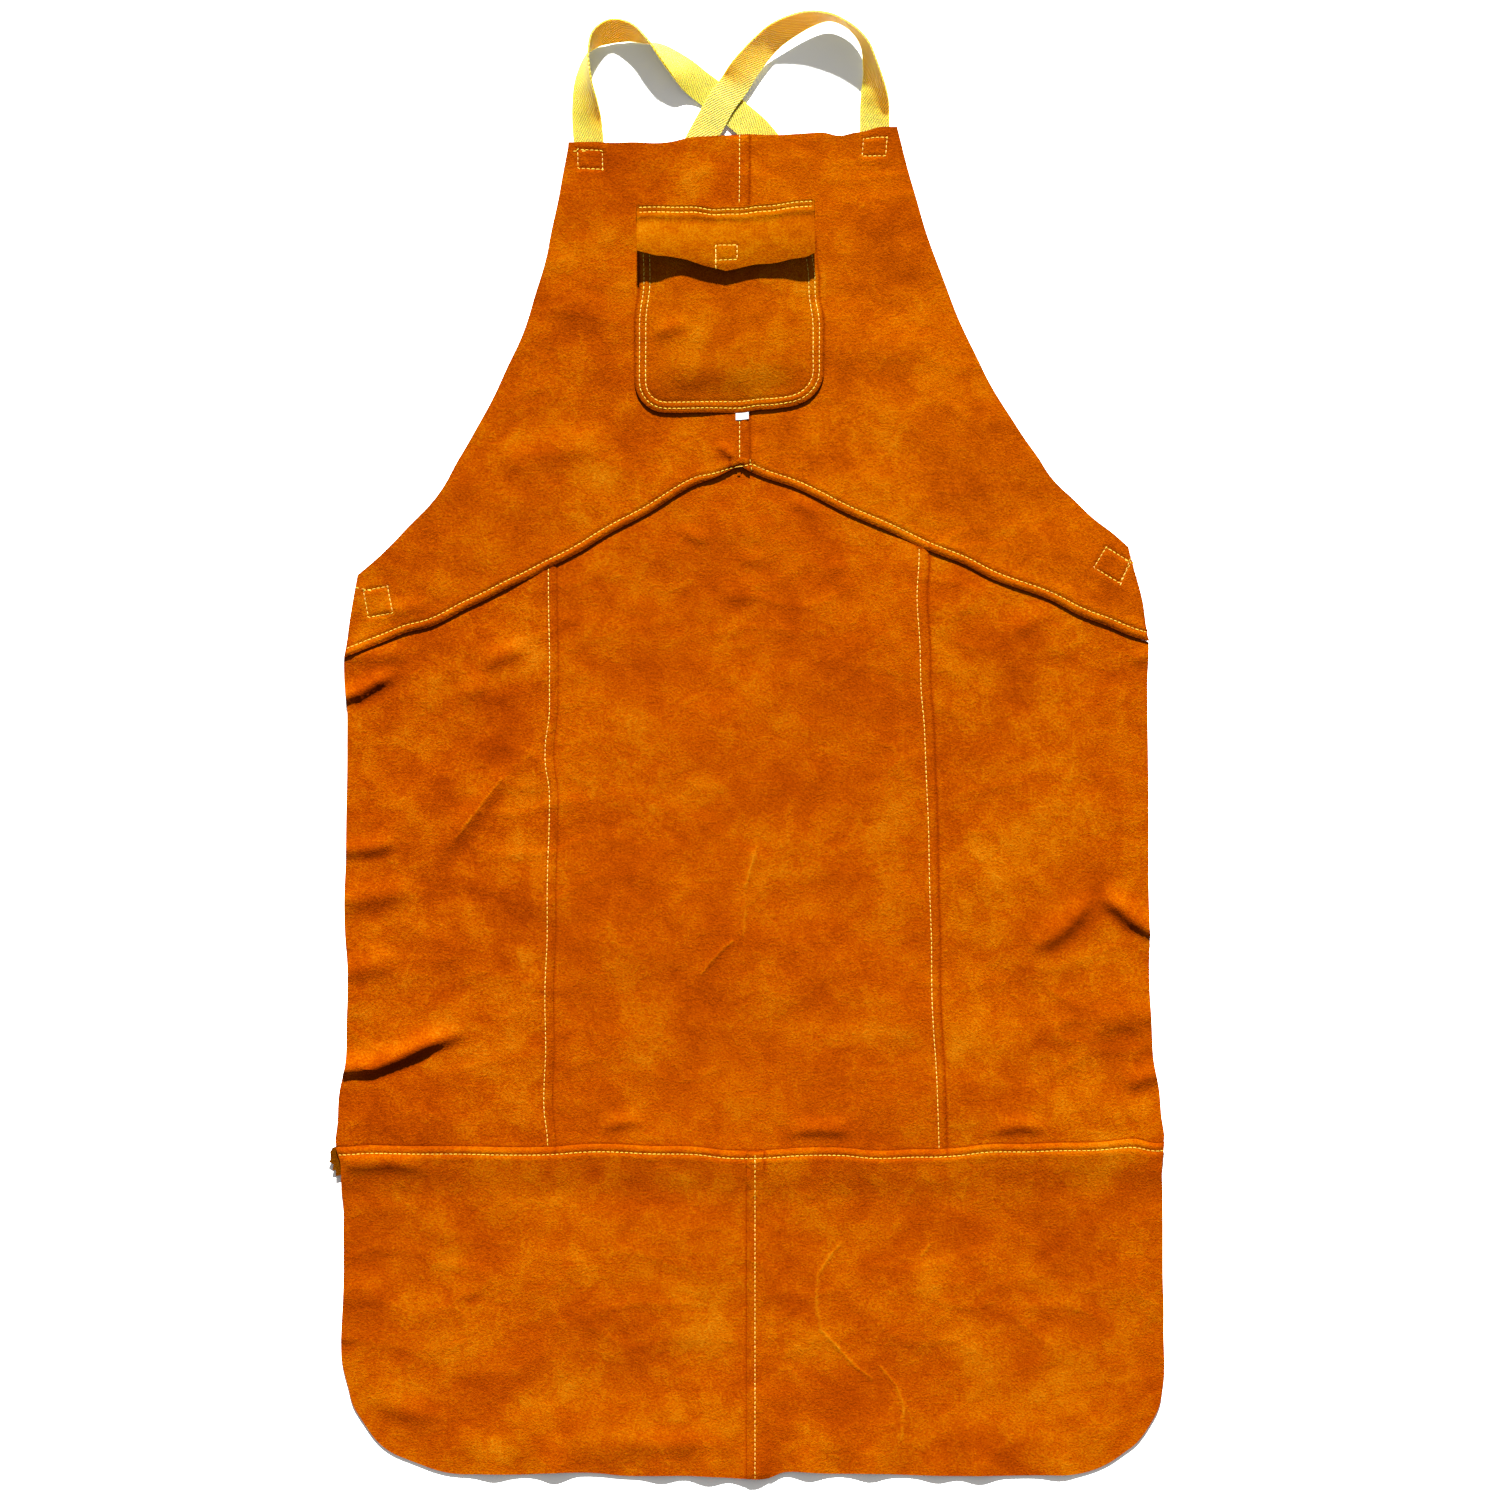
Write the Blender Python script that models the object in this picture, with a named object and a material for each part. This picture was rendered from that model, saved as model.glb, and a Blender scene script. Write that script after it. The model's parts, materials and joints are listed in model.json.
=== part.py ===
"""Leather welding apron with crossed shoulder straps, lying face up on a flat surface.

Metres, +Z up, +Y towards the bib. The origin is on the surface, in the middle of the skirt.
Every sheet of leather is cut, laid in its layer and lapped over its neighbour at the seams.
"""

import math

import bmesh
import bpy
from mathutils import Matrix, Vector
from mathutils.geometry import interpolate_bezier

# ---------------------------------------------------------------- driving dimensions
LEATHER = 0.0014          # split cowhide
WEB_THICKNESS = 0.0016
WEB_WIDTH = 0.025
THREAD_RADIUS = 0.0004
GAP = 0.0003              # clearance between pieces that touch

SKIRT_WIDTH = 0.677
SKIRT_LENGTH = 0.573      # from the waist point down to the hem seam
HEM_WIDTH = 0.694
HEM_DEPTH = 0.277
HEM_RADIUS_LEFT = 0.112
HEM_RADIUS_RIGHT = 0.092
FLARE_HEIGHT = 0.200      # the skirt widens to the hem over this height
BIB_HEIGHT = 0.283        # from the waist point to the middle of the top edge
BIB_TOP_WIDTH = 0.279
BIB_TOP_SHIFT = -0.0144
TOP_SLOPE = -0.0485       # the top edge climbs to the right (rise over run, sign of x kept)
WAIST_DROP_LEFT = 0.1595  # how far the waist seam falls from its point to each side
WAIST_DROP_RIGHT = 0.1430
WAIST_RISE_LEFT = 0.0700  # height of the waist corner over the seam's end
WAIST_RISE_RIGHT = 0.0770
WAIST_INSET_LEFT = 0.0090
WAIST_INSET_RIGHT = 0.0170

SIDE_PANEL_LEFT = 0.1700
SIDE_PANEL_RIGHT = 0.1850
RIGHT_SEAM_SLANT = 0.0160
BIB_SEAM_X = -0.0080
HEM_SEAM_X = 0.0050

EDGE_TO_STITCH = 0.0068   # from an upper panel's edge to its row of stitches
BIB_EDGE_OUT = 0.0020     # the bib's centre edge stands out this much further
UNDERLAP = 0.0080         # what the lower panel runs on past the stitches
LAP_RAMP = 0.0250

POCKET_WIDTH = 0.1597
POCKET_HEIGHT = 0.1480
POCKET_X = -0.0165
POCKET_BOTTOM_OVER_WAIST = 0.0470
POCKET_RADIUS_LEFT = 0.026
POCKET_RADIUS_RIGHT = 0.034
POCKET_RIM = 0.0110
POCKET_RAMP = 0.0260
POCKET_RISE = 0.0055
POCKET_ROW_OUTER = 0.0038
POCKET_ROW_INNER = 0.0090

FLAP_WIDTH = 0.1500
FLAP_BAND = 0.0075
FLAP_LENGTH_LEFT = 0.0335
FLAP_LENGTH_TIP = 0.0495
FLAP_LENGTH_RIGHT = 0.0420
FLAP_HINGE_GAP = 0.0018
FLAP_AXIS_OVER = 0.0008
FLAP_OVER_MOUTH = 0.0180
FLAP_IN_FROM_POCKET = 0.0015
FLAP_TIP_SHARE = 0.505    # where the tip sits along the flap's width
FLAP_LIFT_LEFT = 0.0180
FLAP_LIFT_TIP = 0.0130
FLAP_LIFT_RIGHT = 0.0135
PATCH_WIDTH = 0.0180
PATCH_HEIGHT = 0.0130
PATCH_THICKNESS = 0.0008
PATCH_OVER_TIP = 0.0165   # from the flap's tip to the middle of its patch

LABEL_WIDTH = 0.0110
LABEL_LENGTH = 0.0060
LABEL_THICKNESS = 0.0004
LABEL_OFF_CENTRE = 0.0107

STRAP_INSET = 0.0190      # from a top corner of the bib to the middle of its strap
STRAP_CROSS_X = -0.0230
STRAP_HINGE_OUT = 0.0045  # bending line of the loops, outside the bib's top edge
STRAP_HINGE_GAP = 0.0016
TAB_LENGTH = 0.0290
RUN_PULL = (0.0500, 0.2000)  # how far each end of the hidden run keeps its direction
SECTION_STEP = 0.0060

# ---------------------------------------------------------------- layers and reference lines
LAP = LEATHER + GAP
BIB_LEVEL = 2 * LAP
BIB_TOP = BIB_LEVEL + LAP + LEATHER
TRIM_LEVEL = BIB_TOP + GAP
STRAP_Z = BIB_LEVEL - GAP - WEB_THICKNESS / 2
STITCH_LIFT = LEATHER + GAP + THREAD_RADIUS

BODY_X = -0.001
HEM_X = 0.0025
APEX_X = -0.007
APEX_Y = SKIRT_LENGTH / 2
HEM_Y = -SKIRT_LENGTH / 2
BOTTOM_Y = HEM_Y - HEM_DEPTH
TOP_Y = APEX_Y + BIB_HEIGHT
SKIRT_LEFT = BODY_X - SKIRT_WIDTH / 2
SKIRT_RIGHT = BODY_X + SKIRT_WIDTH / 2
HEM_LEFT = HEM_X - HEM_WIDTH / 2
HEM_RIGHT = HEM_X + HEM_WIDTH / 2
TOP_LEFT = BIB_TOP_SHIFT - BIB_TOP_WIDTH / 2
TOP_RIGHT = BIB_TOP_SHIFT + BIB_TOP_WIDTH / 2
TOP_DIRECTION = Vector((1, -TOP_SLOPE, 0)).normalized()
TOP_NORMAL = Vector((-TOP_DIRECTION.y, TOP_DIRECTION.x, 0))
SEAM_LEFT_X = SKIRT_LEFT + SIDE_PANEL_LEFT
SEAM_RIGHT_X = SKIRT_RIGHT - SIDE_PANEL_RIGHT
POCKET_BOTTOM = APEX_Y + POCKET_BOTTOM_OVER_WAIST
POCKET_MOUTH = POCKET_BOTTOM + POCKET_HEIGHT
FLAP_LEFT = POCKET_X - POCKET_WIDTH / 2 + FLAP_IN_FROM_POCKET
FLAP_RIGHT = FLAP_LEFT + FLAP_WIDTH
FLAP_HINGE_Y = POCKET_MOUTH + FLAP_OVER_MOUTH
FLAP_SLOPE = 0.0360       # the flap's top line climbs to the right
TIP_X = FLAP_LEFT + FLAP_TIP_SHARE * FLAP_WIDTH


def top_y(x):
    """The bib's slanted top edge."""
    return TOP_Y - TOP_SLOPE * (x - BIB_TOP_SHIFT)


def waist_fold(x):
    """The bib's lower edge: a shallow chevron whose limbs ease out towards the sides."""
    left = x < APEX_X
    reach = APEX_X - SKIRT_LEFT if left else SKIRT_RIGHT - APEX_X
    drop = WAIST_DROP_LEFT if left else WAIST_DROP_RIGHT
    share = abs(x - APEX_X) / reach
    return APEX_Y - drop * (1.12 * share - 0.12 * share**2)


def waist_stitch(x):
    return waist_fold(x) + EDGE_TO_STITCH


def skirt_side(left, y):
    """The skirt's side edge, straight and then flaring to the hem."""
    share = min(max((HEM_Y + FLARE_HEIGHT - y) / FLARE_HEIGHT, 0), 1)
    top, bottom = (SKIRT_LEFT, HEM_LEFT) if left else (SKIRT_RIGHT, HEM_RIGHT)
    return top + (bottom - top) * share


def right_seam(y):
    """The right skirt seam leans outwards on its way down."""
    return SEAM_RIGHT_X - RIGHT_SEAM_SLANT * y / SKIRT_LENGTH


def flap_line(x):
    return FLAP_HINGE_Y + FLAP_SLOPE * (x - FLAP_LEFT)


# ---------------------------------------------------------------- scene and materials
for old in list(bpy.data.objects):
    bpy.data.objects.remove(old)

parts = bpy.data.collections.new("welding_apron")
bpy.context.scene.collection.children.link(parts)


def surface(name, colour, roughness):
    material = bpy.data.materials.new(name)
    material.use_nodes = True
    shader = material.node_tree.nodes["Principled BSDF"]
    shader.inputs["Base Color"].default_value = (*colour, 1)
    shader.inputs["Roughness"].default_value = roughness
    shader.inputs["Metallic"].default_value = 0
    material.diffuse_color = (*colour, 1)
    return material


FINISHES = {
    "leather": ((0.60, 0.10, 0.004), 0.92),
    "webbing": ((0.85, 0.60, 0.09), 0.75),
    "thread": ((0.85, 0.55, 0.15), 0.55),
    "label": ((0.85, 0.84, 0.80), 0.70),
    "hook_tape": ((0.42, 0.07, 0.004), 0.60),
}


def keep(name, mesh_builder, finish):
    """Makes the finished bmesh an object of the apron, with a material of its own."""
    bmesh.ops.recalc_face_normals(mesh_builder, faces=mesh_builder.faces)
    mesh = bpy.data.meshes.new(name)
    mesh_builder.to_mesh(mesh)
    mesh_builder.free()
    obj = bpy.data.objects.new(name, mesh)
    parts.objects.link(obj)
    obj.data.materials.append(surface(name + "_" + finish, *FINISHES[finish]))
    return obj


def on_axis(obj, point):
    """Moves the object's origin onto its joint's axis, leaving the shape where it is."""
    obj.data.transform(Matrix.Translation(-Vector(point)))
    obj.location = point
    return obj


# ---------------------------------------------------------------- makers
def lap_lift(point, laps):
    """Sum of the steps that a panel climbs: each is (origin, normal, start, rise)."""
    lift = 0
    for origin, normal, start, rise in laps:
        distance = (Vector(point[:2]) - origin).dot(normal)
        lift += rise * min(max((distance - start) / LAP_RAMP + 1, 0), 1)
    return lift


def sheet(name, outline, level, finish="leather", laps=(), thickness=LEATHER, shape=None, grid=None):
    """A flat outline, cut where its height changes, lifted into place and given its thickness."""
    work = bmesh.new()
    work.faces.new([work.verts.new((x, y, 0)) for x, y in outline])
    planes = []
    for origin, normal, start, _ in laps:
        for distance in (start - LAP_RAMP, start):
            planes.append((origin + normal * distance, normal))
    if grid:
        xs = [p[0] for p in outline]
        ys = [p[1] for p in outline]
        for i in range(1, math.ceil((max(xs) - min(xs)) / grid)):
            planes.append((Vector((min(xs) + i * grid, 0)), Vector((1, 0))))
        for i in range(1, math.ceil((max(ys) - min(ys)) / grid)):
            planes.append((Vector((0, min(ys) + i * grid)), Vector((0, 1))))
    for origin, normal in planes:
        geometry = work.verts[:] + work.edges[:] + work.faces[:]
        bmesh.ops.bisect_plane(
            work, geom=geometry, dist=1e-6, plane_co=(*origin, 0), plane_no=(*normal, 0)
        )
    bmesh.ops.triangulate(work, faces=work.faces[:])
    for vertex in work.verts:
        vertex.co.z = level + lap_lift(vertex.co, laps)
        if shape:
            vertex.co.z += shape(vertex.co.x, vertex.co.y)
    raised = bmesh.ops.extrude_face_region(work, geom=work.faces[:], use_keep_orig=True)
    for item in raised["geom"]:
        if isinstance(item, bmesh.types.BMVert):
            item.co.z += thickness
    return keep(name, work, finish)


def smooth_route(points, step=SECTION_STEP):
    """A Catmull-Rom curve through rows of numbers, read at an even spacing."""
    rows = [Vector(p) for p in points]
    padded = [2 * rows[0] - rows[1], *rows, 2 * rows[-1] - rows[-2]]
    dense = []
    for a, b, c, d in zip(padded, padded[1:], padded[2:], padded[3:]):
        for i in range(12):
            t = i / 12
            dense.append(
                0.5
                * (
                    2 * b
                    + (c - a) * t
                    + (2 * a - 5 * b + 4 * c - d) * t**2
                    + (3 * b - a - 3 * c + d) * t**3
                )
            )
    dense.append(rows[-1])
    picked = [dense[0]]
    for row in dense[1:]:
        if (row.xyz - picked[-1].xyz).length >= step:
            picked.append(row)
    if (dense[-1].xyz - picked[-1].xyz).length > step / 3:
        picked.append(dense[-1])
    return picked


def ribbon(name, route, cuts=()):
    """Webbing lofted along rows of (x, y, z, lean): a turned rectangle at each row."""
    work = bmesh.new()
    rings = []
    for i, row in enumerate(route):
        ahead = (route[min(i + 1, len(route) - 1)].xyz - route[max(i - 1, 0)].xyz).normalized()
        side = ahead.cross(Vector((0, 0, 1))).normalized()
        across = side * math.cos(row.w) + Vector((0, 0, 1)) * math.sin(row.w)
        across = (across - ahead * across.dot(ahead)).normalized()
        up = across.cross(ahead)
        corners = []
        for u, v in ((-1, -1), (1, -1), (1, 1), (-1, 1)):
            offset = across * u * WEB_WIDTH / 2 + up * v * WEB_THICKNESS / 2
            corners.append(work.verts.new(row.xyz + offset))
        rings.append(corners)
    for ring, after in zip(rings, rings[1:]):
        for i in range(4):
            j = (i + 1) % 4
            work.faces.new((ring[i], ring[j], after[j], after[i]))
    work.faces.new(rings[0][::-1])
    work.faces.new(rings[-1])
    bmesh.ops.triangulate(work, faces=work.faces[:])
    for origin, normal in cuts:
        cut = bmesh.ops.bisect_plane(
            work,
            geom=work.verts[:] + work.edges[:] + work.faces[:],
            dist=1e-7,
            plane_co=origin,
            plane_no=normal,
            clear_outer=True,
        )
        edges = [e for e in cut["geom_cut"] if isinstance(e, bmesh.types.BMEdge)]
        bmesh.ops.edgenet_fill(work, edges=edges)
    bmesh.ops.triangulate(work, faces=work.faces[:])
    return keep(name, work, "webbing")


def stitching(name, points, closed=False):
    """A row of thread as one thin cord along its stitches."""
    curve = bpy.data.curves.new(name, "CURVE")
    curve.dimensions = "3D"
    curve.bevel_depth = THREAD_RADIUS
    curve.bevel_resolution = 0
    curve.use_fill_caps = not closed
    spline = curve.splines.new("POLY")
    spline.points.add(len(points) - 1)
    for point, place in zip(spline.points, points):
        point.co = (*place, 1)
    spline.use_cyclic_u = closed
    obj = bpy.data.objects.new(name, curve)
    parts.objects.link(obj)
    obj.data.materials.append(surface(name + "_thread", *FINISHES["thread"]))
    return obj


def spaced(start, end, count):
    return [start + (end - start) * i / (count - 1) for i in range(count)]


# ---------------------------------------------------------------- skirt
X_AXIS = Vector((1, 0))
Y_AXIS = Vector((0, 1))
SKIRT_FOOT = HEM_Y - EDGE_TO_STITCH - UNDERLAP


def skirt_outline(left_edge, right_edge):
    """Between two edge functions of y, from the hem up under the bib."""
    top_left = left_edge(APEX_Y)
    top_right = right_edge(APEX_Y)
    top = []
    for x in spaced(top_left, top_right, 9):
        top.append((x, waist_stitch(x) + UNDERLAP))
    top[0] = (left_edge(top[0][1]), top[0][1])
    top[-1] = (right_edge(top[-1][1]), top[-1][1])
    flare = HEM_Y + FLARE_HEIGHT
    bottom = [(left_edge(flare), flare), (left_edge(SKIRT_FOOT), SKIRT_FOOT)]
    bottom += [(right_edge(SKIRT_FOOT), SKIRT_FOOT), (right_edge(flare), flare)]
    return top[::-1] + bottom


RIGHT_SEAM_LINE = Vector((RIGHT_SEAM_SLANT / SKIRT_LENGTH, 1)).normalized()
RIGHT_SEAM_ACROSS = Vector((1, RIGHT_SEAM_SLANT / SKIRT_LENGTH)).normalized()
left_lap = (Vector((SEAM_LEFT_X, 0)), X_AXIS, -UNDERLAP - GAP, LAP)
right_lap = (Vector((right_seam(0), 0)), RIGHT_SEAM_ACROSS, -UNDERLAP - GAP, LAP)

sheet(
    "skirt_panel_left",
    skirt_outline(lambda y: skirt_side(True, y), lambda y: SEAM_LEFT_X + EDGE_TO_STITCH),
    0,
    laps=[left_lap],
)
sheet(
    "skirt_panel_centre",
    skirt_outline(lambda y: SEAM_LEFT_X - UNDERLAP, lambda y: right_seam(y) + EDGE_TO_STITCH),
    0,
    laps=[right_lap],
)
sheet(
    "skirt_panel_right",
    skirt_outline(lambda y: right_seam(y) - UNDERLAP, lambda y: skirt_side(False, y)),
    0,
)

# ---------------------------------------------------------------- hem
HEM_STITCH_Y = HEM_Y - EDGE_TO_STITCH
hem_lap = (Vector((0, SKIRT_FOOT - GAP)), Y_AXIS, 0, BIB_LEVEL)
hem_centre_lap = (Vector((HEM_SEAM_X, 0)), -X_AXIS, -UNDERLAP - GAP, LAP)


def corner(x, y, radius, start, end, count=9):
    """Points on a quarter arc about (x, y), angles in degrees."""
    angles = [math.radians(a) for a in spaced(start, end, count)]
    return [(x + radius * math.cos(a), y + radius * math.sin(a)) for a in angles]


sheet(
    "hem_panel_left",
    [(HEM_LEFT, HEM_Y)]
    + corner(HEM_LEFT + HEM_RADIUS_LEFT, BOTTOM_Y + HEM_RADIUS_LEFT, HEM_RADIUS_LEFT, 180, 270)
    + [(HEM_SEAM_X + UNDERLAP, BOTTOM_Y), (HEM_SEAM_X + UNDERLAP, HEM_Y)],
    0,
    laps=[hem_lap],
)
sheet(
    "hem_panel_right",
    [(HEM_SEAM_X - EDGE_TO_STITCH, HEM_Y), (HEM_SEAM_X - EDGE_TO_STITCH, BOTTOM_Y)]
    + corner(HEM_RIGHT - HEM_RADIUS_RIGHT, BOTTOM_Y + HEM_RADIUS_RIGHT, HEM_RADIUS_RIGHT, 270, 360)
    + [(HEM_RIGHT, HEM_Y)],
    0,
    laps=[hem_lap, hem_centre_lap],
)

# ---------------------------------------------------------------- bib
WAIST_CORNER_LEFT = Vector(
    (SKIRT_LEFT + WAIST_INSET_LEFT, waist_fold(SKIRT_LEFT) + WAIST_RISE_LEFT, 0)
)
WAIST_CORNER_RIGHT = Vector(
    (SKIRT_RIGHT - WAIST_INSET_RIGHT, waist_fold(SKIRT_RIGHT) + WAIST_RISE_RIGHT, 0)
)
SHOULDER_LEFT = Vector((TOP_LEFT, top_y(TOP_LEFT), 0))
SHOULDER_RIGHT = Vector((TOP_RIGHT, top_y(TOP_RIGHT), 0))
# How each armhole leaves the shoulder and arrives at the waist.
ARMHOLE_LEFT_PULLS = (Vector((-0.0227, -0.148, 0)), Vector((0.093, 0.0754, 0)))
ARMHOLE_RIGHT_PULLS = (Vector((0.0325, -0.1258, 0)), Vector((-0.115, 0.096, 0)))


def armhole(shoulder, waist_corner, pulls):
    """The concave cut from a shoulder corner to a waist corner."""
    curve = interpolate_bezier(
        shoulder, shoulder + pulls[0], waist_corner + pulls[1], waist_corner, 14
    )
    return [(p.x, p.y) for p in curve]


def waist_edge(start, end, count=7):
    return [(x, waist_fold(x)) for x in spaced(start, end, count)]


bib_lap = (Vector((BIB_SEAM_X, 0)), X_AXIS, -UNDERLAP - GAP, LAP)
BIB_LAP_EDGE = BIB_SEAM_X + EDGE_TO_STITCH + BIB_EDGE_OUT
BIB_UNDER_EDGE = BIB_SEAM_X - UNDERLAP

sheet(
    "bib_panel_left",
    [(BIB_LAP_EDGE, top_y(BIB_LAP_EDGE))]
    + armhole(SHOULDER_LEFT, WAIST_CORNER_LEFT, ARMHOLE_LEFT_PULLS)
    + waist_edge(SKIRT_LEFT, APEX_X, 8)
    + [(BIB_LAP_EDGE, waist_fold(BIB_LAP_EDGE))],
    BIB_LEVEL,
    laps=[bib_lap],
)
sheet(
    "bib_panel_right",
    [(BIB_UNDER_EDGE, top_y(BIB_UNDER_EDGE)), (BIB_UNDER_EDGE, waist_fold(BIB_UNDER_EDGE))]
    + waist_edge(APEX_X, SKIRT_RIGHT, 8)
    + armhole(SHOULDER_RIGHT, WAIST_CORNER_RIGHT, ARMHOLE_RIGHT_PULLS)[::-1],
    BIB_LEVEL,
)

# ---------------------------------------------------------------- pocket
POCKET_LEFT = POCKET_X - POCKET_WIDTH / 2
POCKET_RIGHT = POCKET_X + POCKET_WIDTH / 2


def pocket_edge(inset):
    """The U of the pocket's sewn edge, drawn in by inset, from mouth to mouth."""
    left, right = POCKET_LEFT + inset, POCKET_RIGHT - inset
    bottom = POCKET_BOTTOM + inset
    small, large = POCKET_RADIUS_LEFT - inset, POCKET_RADIUS_RIGHT - inset
    return (
        [(left, POCKET_MOUTH)]
        + corner(left + small, bottom + small, small, 180, 270, 7)
        + corner(right - large, bottom + large, large, 270, 360, 7)
        + [(right, POCKET_MOUTH)]
    )


def eased(value):
    share = min(max(value, 0), 1)
    return share * share * (3 - 2 * share)


def pouch_rise(x, y):
    """The slack that makes the pocket open: nothing at the sewn rim, most in the middle."""
    side = min(x - POCKET_LEFT, POCKET_RIGHT - x) - POCKET_RIM
    foot = y - POCKET_BOTTOM - POCKET_RIM
    return POCKET_RISE * eased(side / POCKET_RAMP) * eased(foot / POCKET_RAMP)


sheet("pocket_pouch", pocket_edge(0), TRIM_LEVEL, shape=pouch_rise, grid=0.0125)

# ---------------------------------------------------------------- flap and its closure
FLAP_AXIS = Vector((1, FLAP_SLOPE, 0)).normalized()
# The flap bends along its sewn line, just over the leather, so it can turn back on itself.
FLAP_Z = TRIM_LEVEL + LEATHER + FLAP_AXIS_OVER


def flap_share(x):
    return (x - FLAP_LEFT) / FLAP_WIDTH


def between(x, left, tip, right):
    """Left, tip and right values, joined by straight lines along the flap."""
    share = flap_share(x)
    tip_share = flap_share(TIP_X)
    if share < tip_share:
        return left + (tip - left) * share / tip_share
    return tip + (right - tip) * (share - tip_share) / (1 - tip_share)


def flap_rise(x, y):
    """The free edge curls up off the pouch, most at its left end."""
    length = between(x, FLAP_LENGTH_LEFT, FLAP_LENGTH_TIP, FLAP_LENGTH_RIGHT)
    lift = between(x, FLAP_LIFT_LEFT, FLAP_LIFT_TIP, FLAP_LIFT_RIGHT)
    share = min(max((flap_line(x) - y) / length, 0), 1)
    return lift * (1 - (1 - share) ** 2)


def flap_foot(x):
    """The free edge: two shallow scallops that meet in a soft tip."""
    side = FLAP_LENGTH_LEFT if x < TIP_X else FLAP_LENGTH_RIGHT
    share = min(abs(x - TIP_X) / (FLAP_WIDTH / 2), 1)
    return flap_line(x) - side - (FLAP_LENGTH_TIP - side) * (1 - share) ** 2


band_top = FLAP_BAND + FLAP_HINGE_GAP
sheet(
    "pocket_flap_band",
    [
        (FLAP_LEFT, flap_line(FLAP_LEFT) + FLAP_HINGE_GAP),
        (FLAP_RIGHT, flap_line(FLAP_RIGHT) + FLAP_HINGE_GAP),
        (FLAP_RIGHT, flap_line(FLAP_RIGHT) + band_top),
        (FLAP_LEFT, flap_line(FLAP_LEFT) + band_top),
    ],
    TRIM_LEVEL,
)
flap = sheet(
    "pocket_flap",
    [
        (FLAP_RIGHT, flap_line(FLAP_RIGHT) - FLAP_HINGE_GAP),
        (FLAP_LEFT, flap_line(FLAP_LEFT) - FLAP_HINGE_GAP),
    ]
    + [(x, flap_foot(x)) for x in spaced(FLAP_LEFT, FLAP_RIGHT, 17)],
    TRIM_LEVEL,
    shape=flap_rise,
    grid=0.0100,
)
on_axis(flap, (TIP_X, flap_line(TIP_X), FLAP_Z))

PATCH_Y = flap_foot(TIP_X) + PATCH_OVER_TIP
patch_outline = [
    (TIP_X - PATCH_WIDTH / 2, PATCH_Y - PATCH_HEIGHT / 2),
    (TIP_X + PATCH_WIDTH / 2, PATCH_Y - PATCH_HEIGHT / 2),
    (TIP_X + PATCH_WIDTH / 2, PATCH_Y + PATCH_HEIGHT / 2),
    (TIP_X - PATCH_WIDTH / 2, PATCH_Y + PATCH_HEIGHT / 2),
]
hook_patch = sheet(
    "flap_hook_patch",
    patch_outline,
    TRIM_LEVEL - 2 * GAP - PATCH_THICKNESS,
    finish="hook_tape",
    thickness=PATCH_THICKNESS,
    shape=flap_rise,
    grid=0.0045,
)
on_axis(hook_patch, flap.location)
sheet(
    "pocket_loop_patch",
    patch_outline,
    TRIM_LEVEL + LEATHER + GAP + POCKET_RISE,
    finish="hook_tape",
    thickness=PATCH_THICKNESS,
)

# ---------------------------------------------------------------- size label
LABEL_X = POCKET_X + LABEL_OFF_CENTRE
LABEL_TOP = POCKET_BOTTOM - GAP
label = sheet(
    "size_label",
    [
        (LABEL_X - LABEL_WIDTH / 2, LABEL_TOP),
        (LABEL_X - LABEL_WIDTH / 2, LABEL_TOP - LABEL_LENGTH),
        (LABEL_X + LABEL_WIDTH / 2, LABEL_TOP - LABEL_LENGTH),
        (LABEL_X + LABEL_WIDTH / 2, LABEL_TOP),
    ],
    TRIM_LEVEL,
    finish="label",
    thickness=LABEL_THICKNESS,
)
on_axis(label, (LABEL_X, LABEL_TOP, TRIM_LEVEL + LABEL_THICKNESS / 2))

# ---------------------------------------------------------------- shoulder straps
BASE_LEFT_X = TOP_LEFT + STRAP_INSET
BASE_RIGHT_X = TOP_RIGHT - STRAP_INSET

# Rows: share of the way from the strap's base to the crossing, height over the bib's
# top edge, lean of the webbing in degrees, and how far its lower edge is off the ground.
LEFT_LOOP = (
    (0.000, -0.008, 0, 0.0015),
    (-0.015, 0.014, 8, 0.0014),
    (-0.030, 0.031, 32, 0.0010),
    (-0.042, 0.048, 54, 0.0006),
    (-0.030, 0.064, 74, 0.0004),
    (0.000, 0.077, 94, 0.0004),
    (0.065, 0.087, 122, 0.0004),
    (0.174, 0.0915, 140, 0.0004),
    (0.303, 0.090, 124, 0.0004),
    (0.430, 0.082, 96, 0.0004),
    (0.540, 0.073, 66, 0.0004),
    (0.680, 0.0587, 38, 0.0003),
    (0.800, 0.0455, 10, 0.0002),
    (0.900, 0.0365, 0, 0.0002),
    (1.000, 0.0275, 0, 0.0002),
    (1.136, 0.0140, 0, 0.0008),
    (1.300, -0.0030, 0, 0.0015),
    (1.380, -0.0110, 0, 0.0015),
)
RIGHT_LOOP = (
    (0.000, -0.008, 0, 0.0015),
    (0.000, 0.014, 8, 0.0016),
    (0.000, 0.027, 30, 0.0020),
    (0.010, 0.041, 52, 0.0030),
    (0.033, 0.056, 66, 0.0044),
    (0.060, 0.0683, 74, 0.0056),
    (0.114, 0.0790, 80, 0.0064),
    (0.196, 0.0880, 83, 0.0066),
    (0.307, 0.0940, 78, 0.0064),
    (0.454, 0.0925, 58, 0.0058),
    (0.624, 0.0830, 40, 0.0048),
    (0.732, 0.0715, 34, 0.0040),
    (0.850, 0.0545, 20, 0.0042),
    (0.920, 0.0410, 0, 0.0034),
    (1.000, 0.0275, 0, 0.0028),
    (1.060, 0.0140, 0, 0.0022),
    (1.125, -0.0010, 0, 0.0015),
    (1.165, -0.0100, 0, 0.0015),
)


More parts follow.
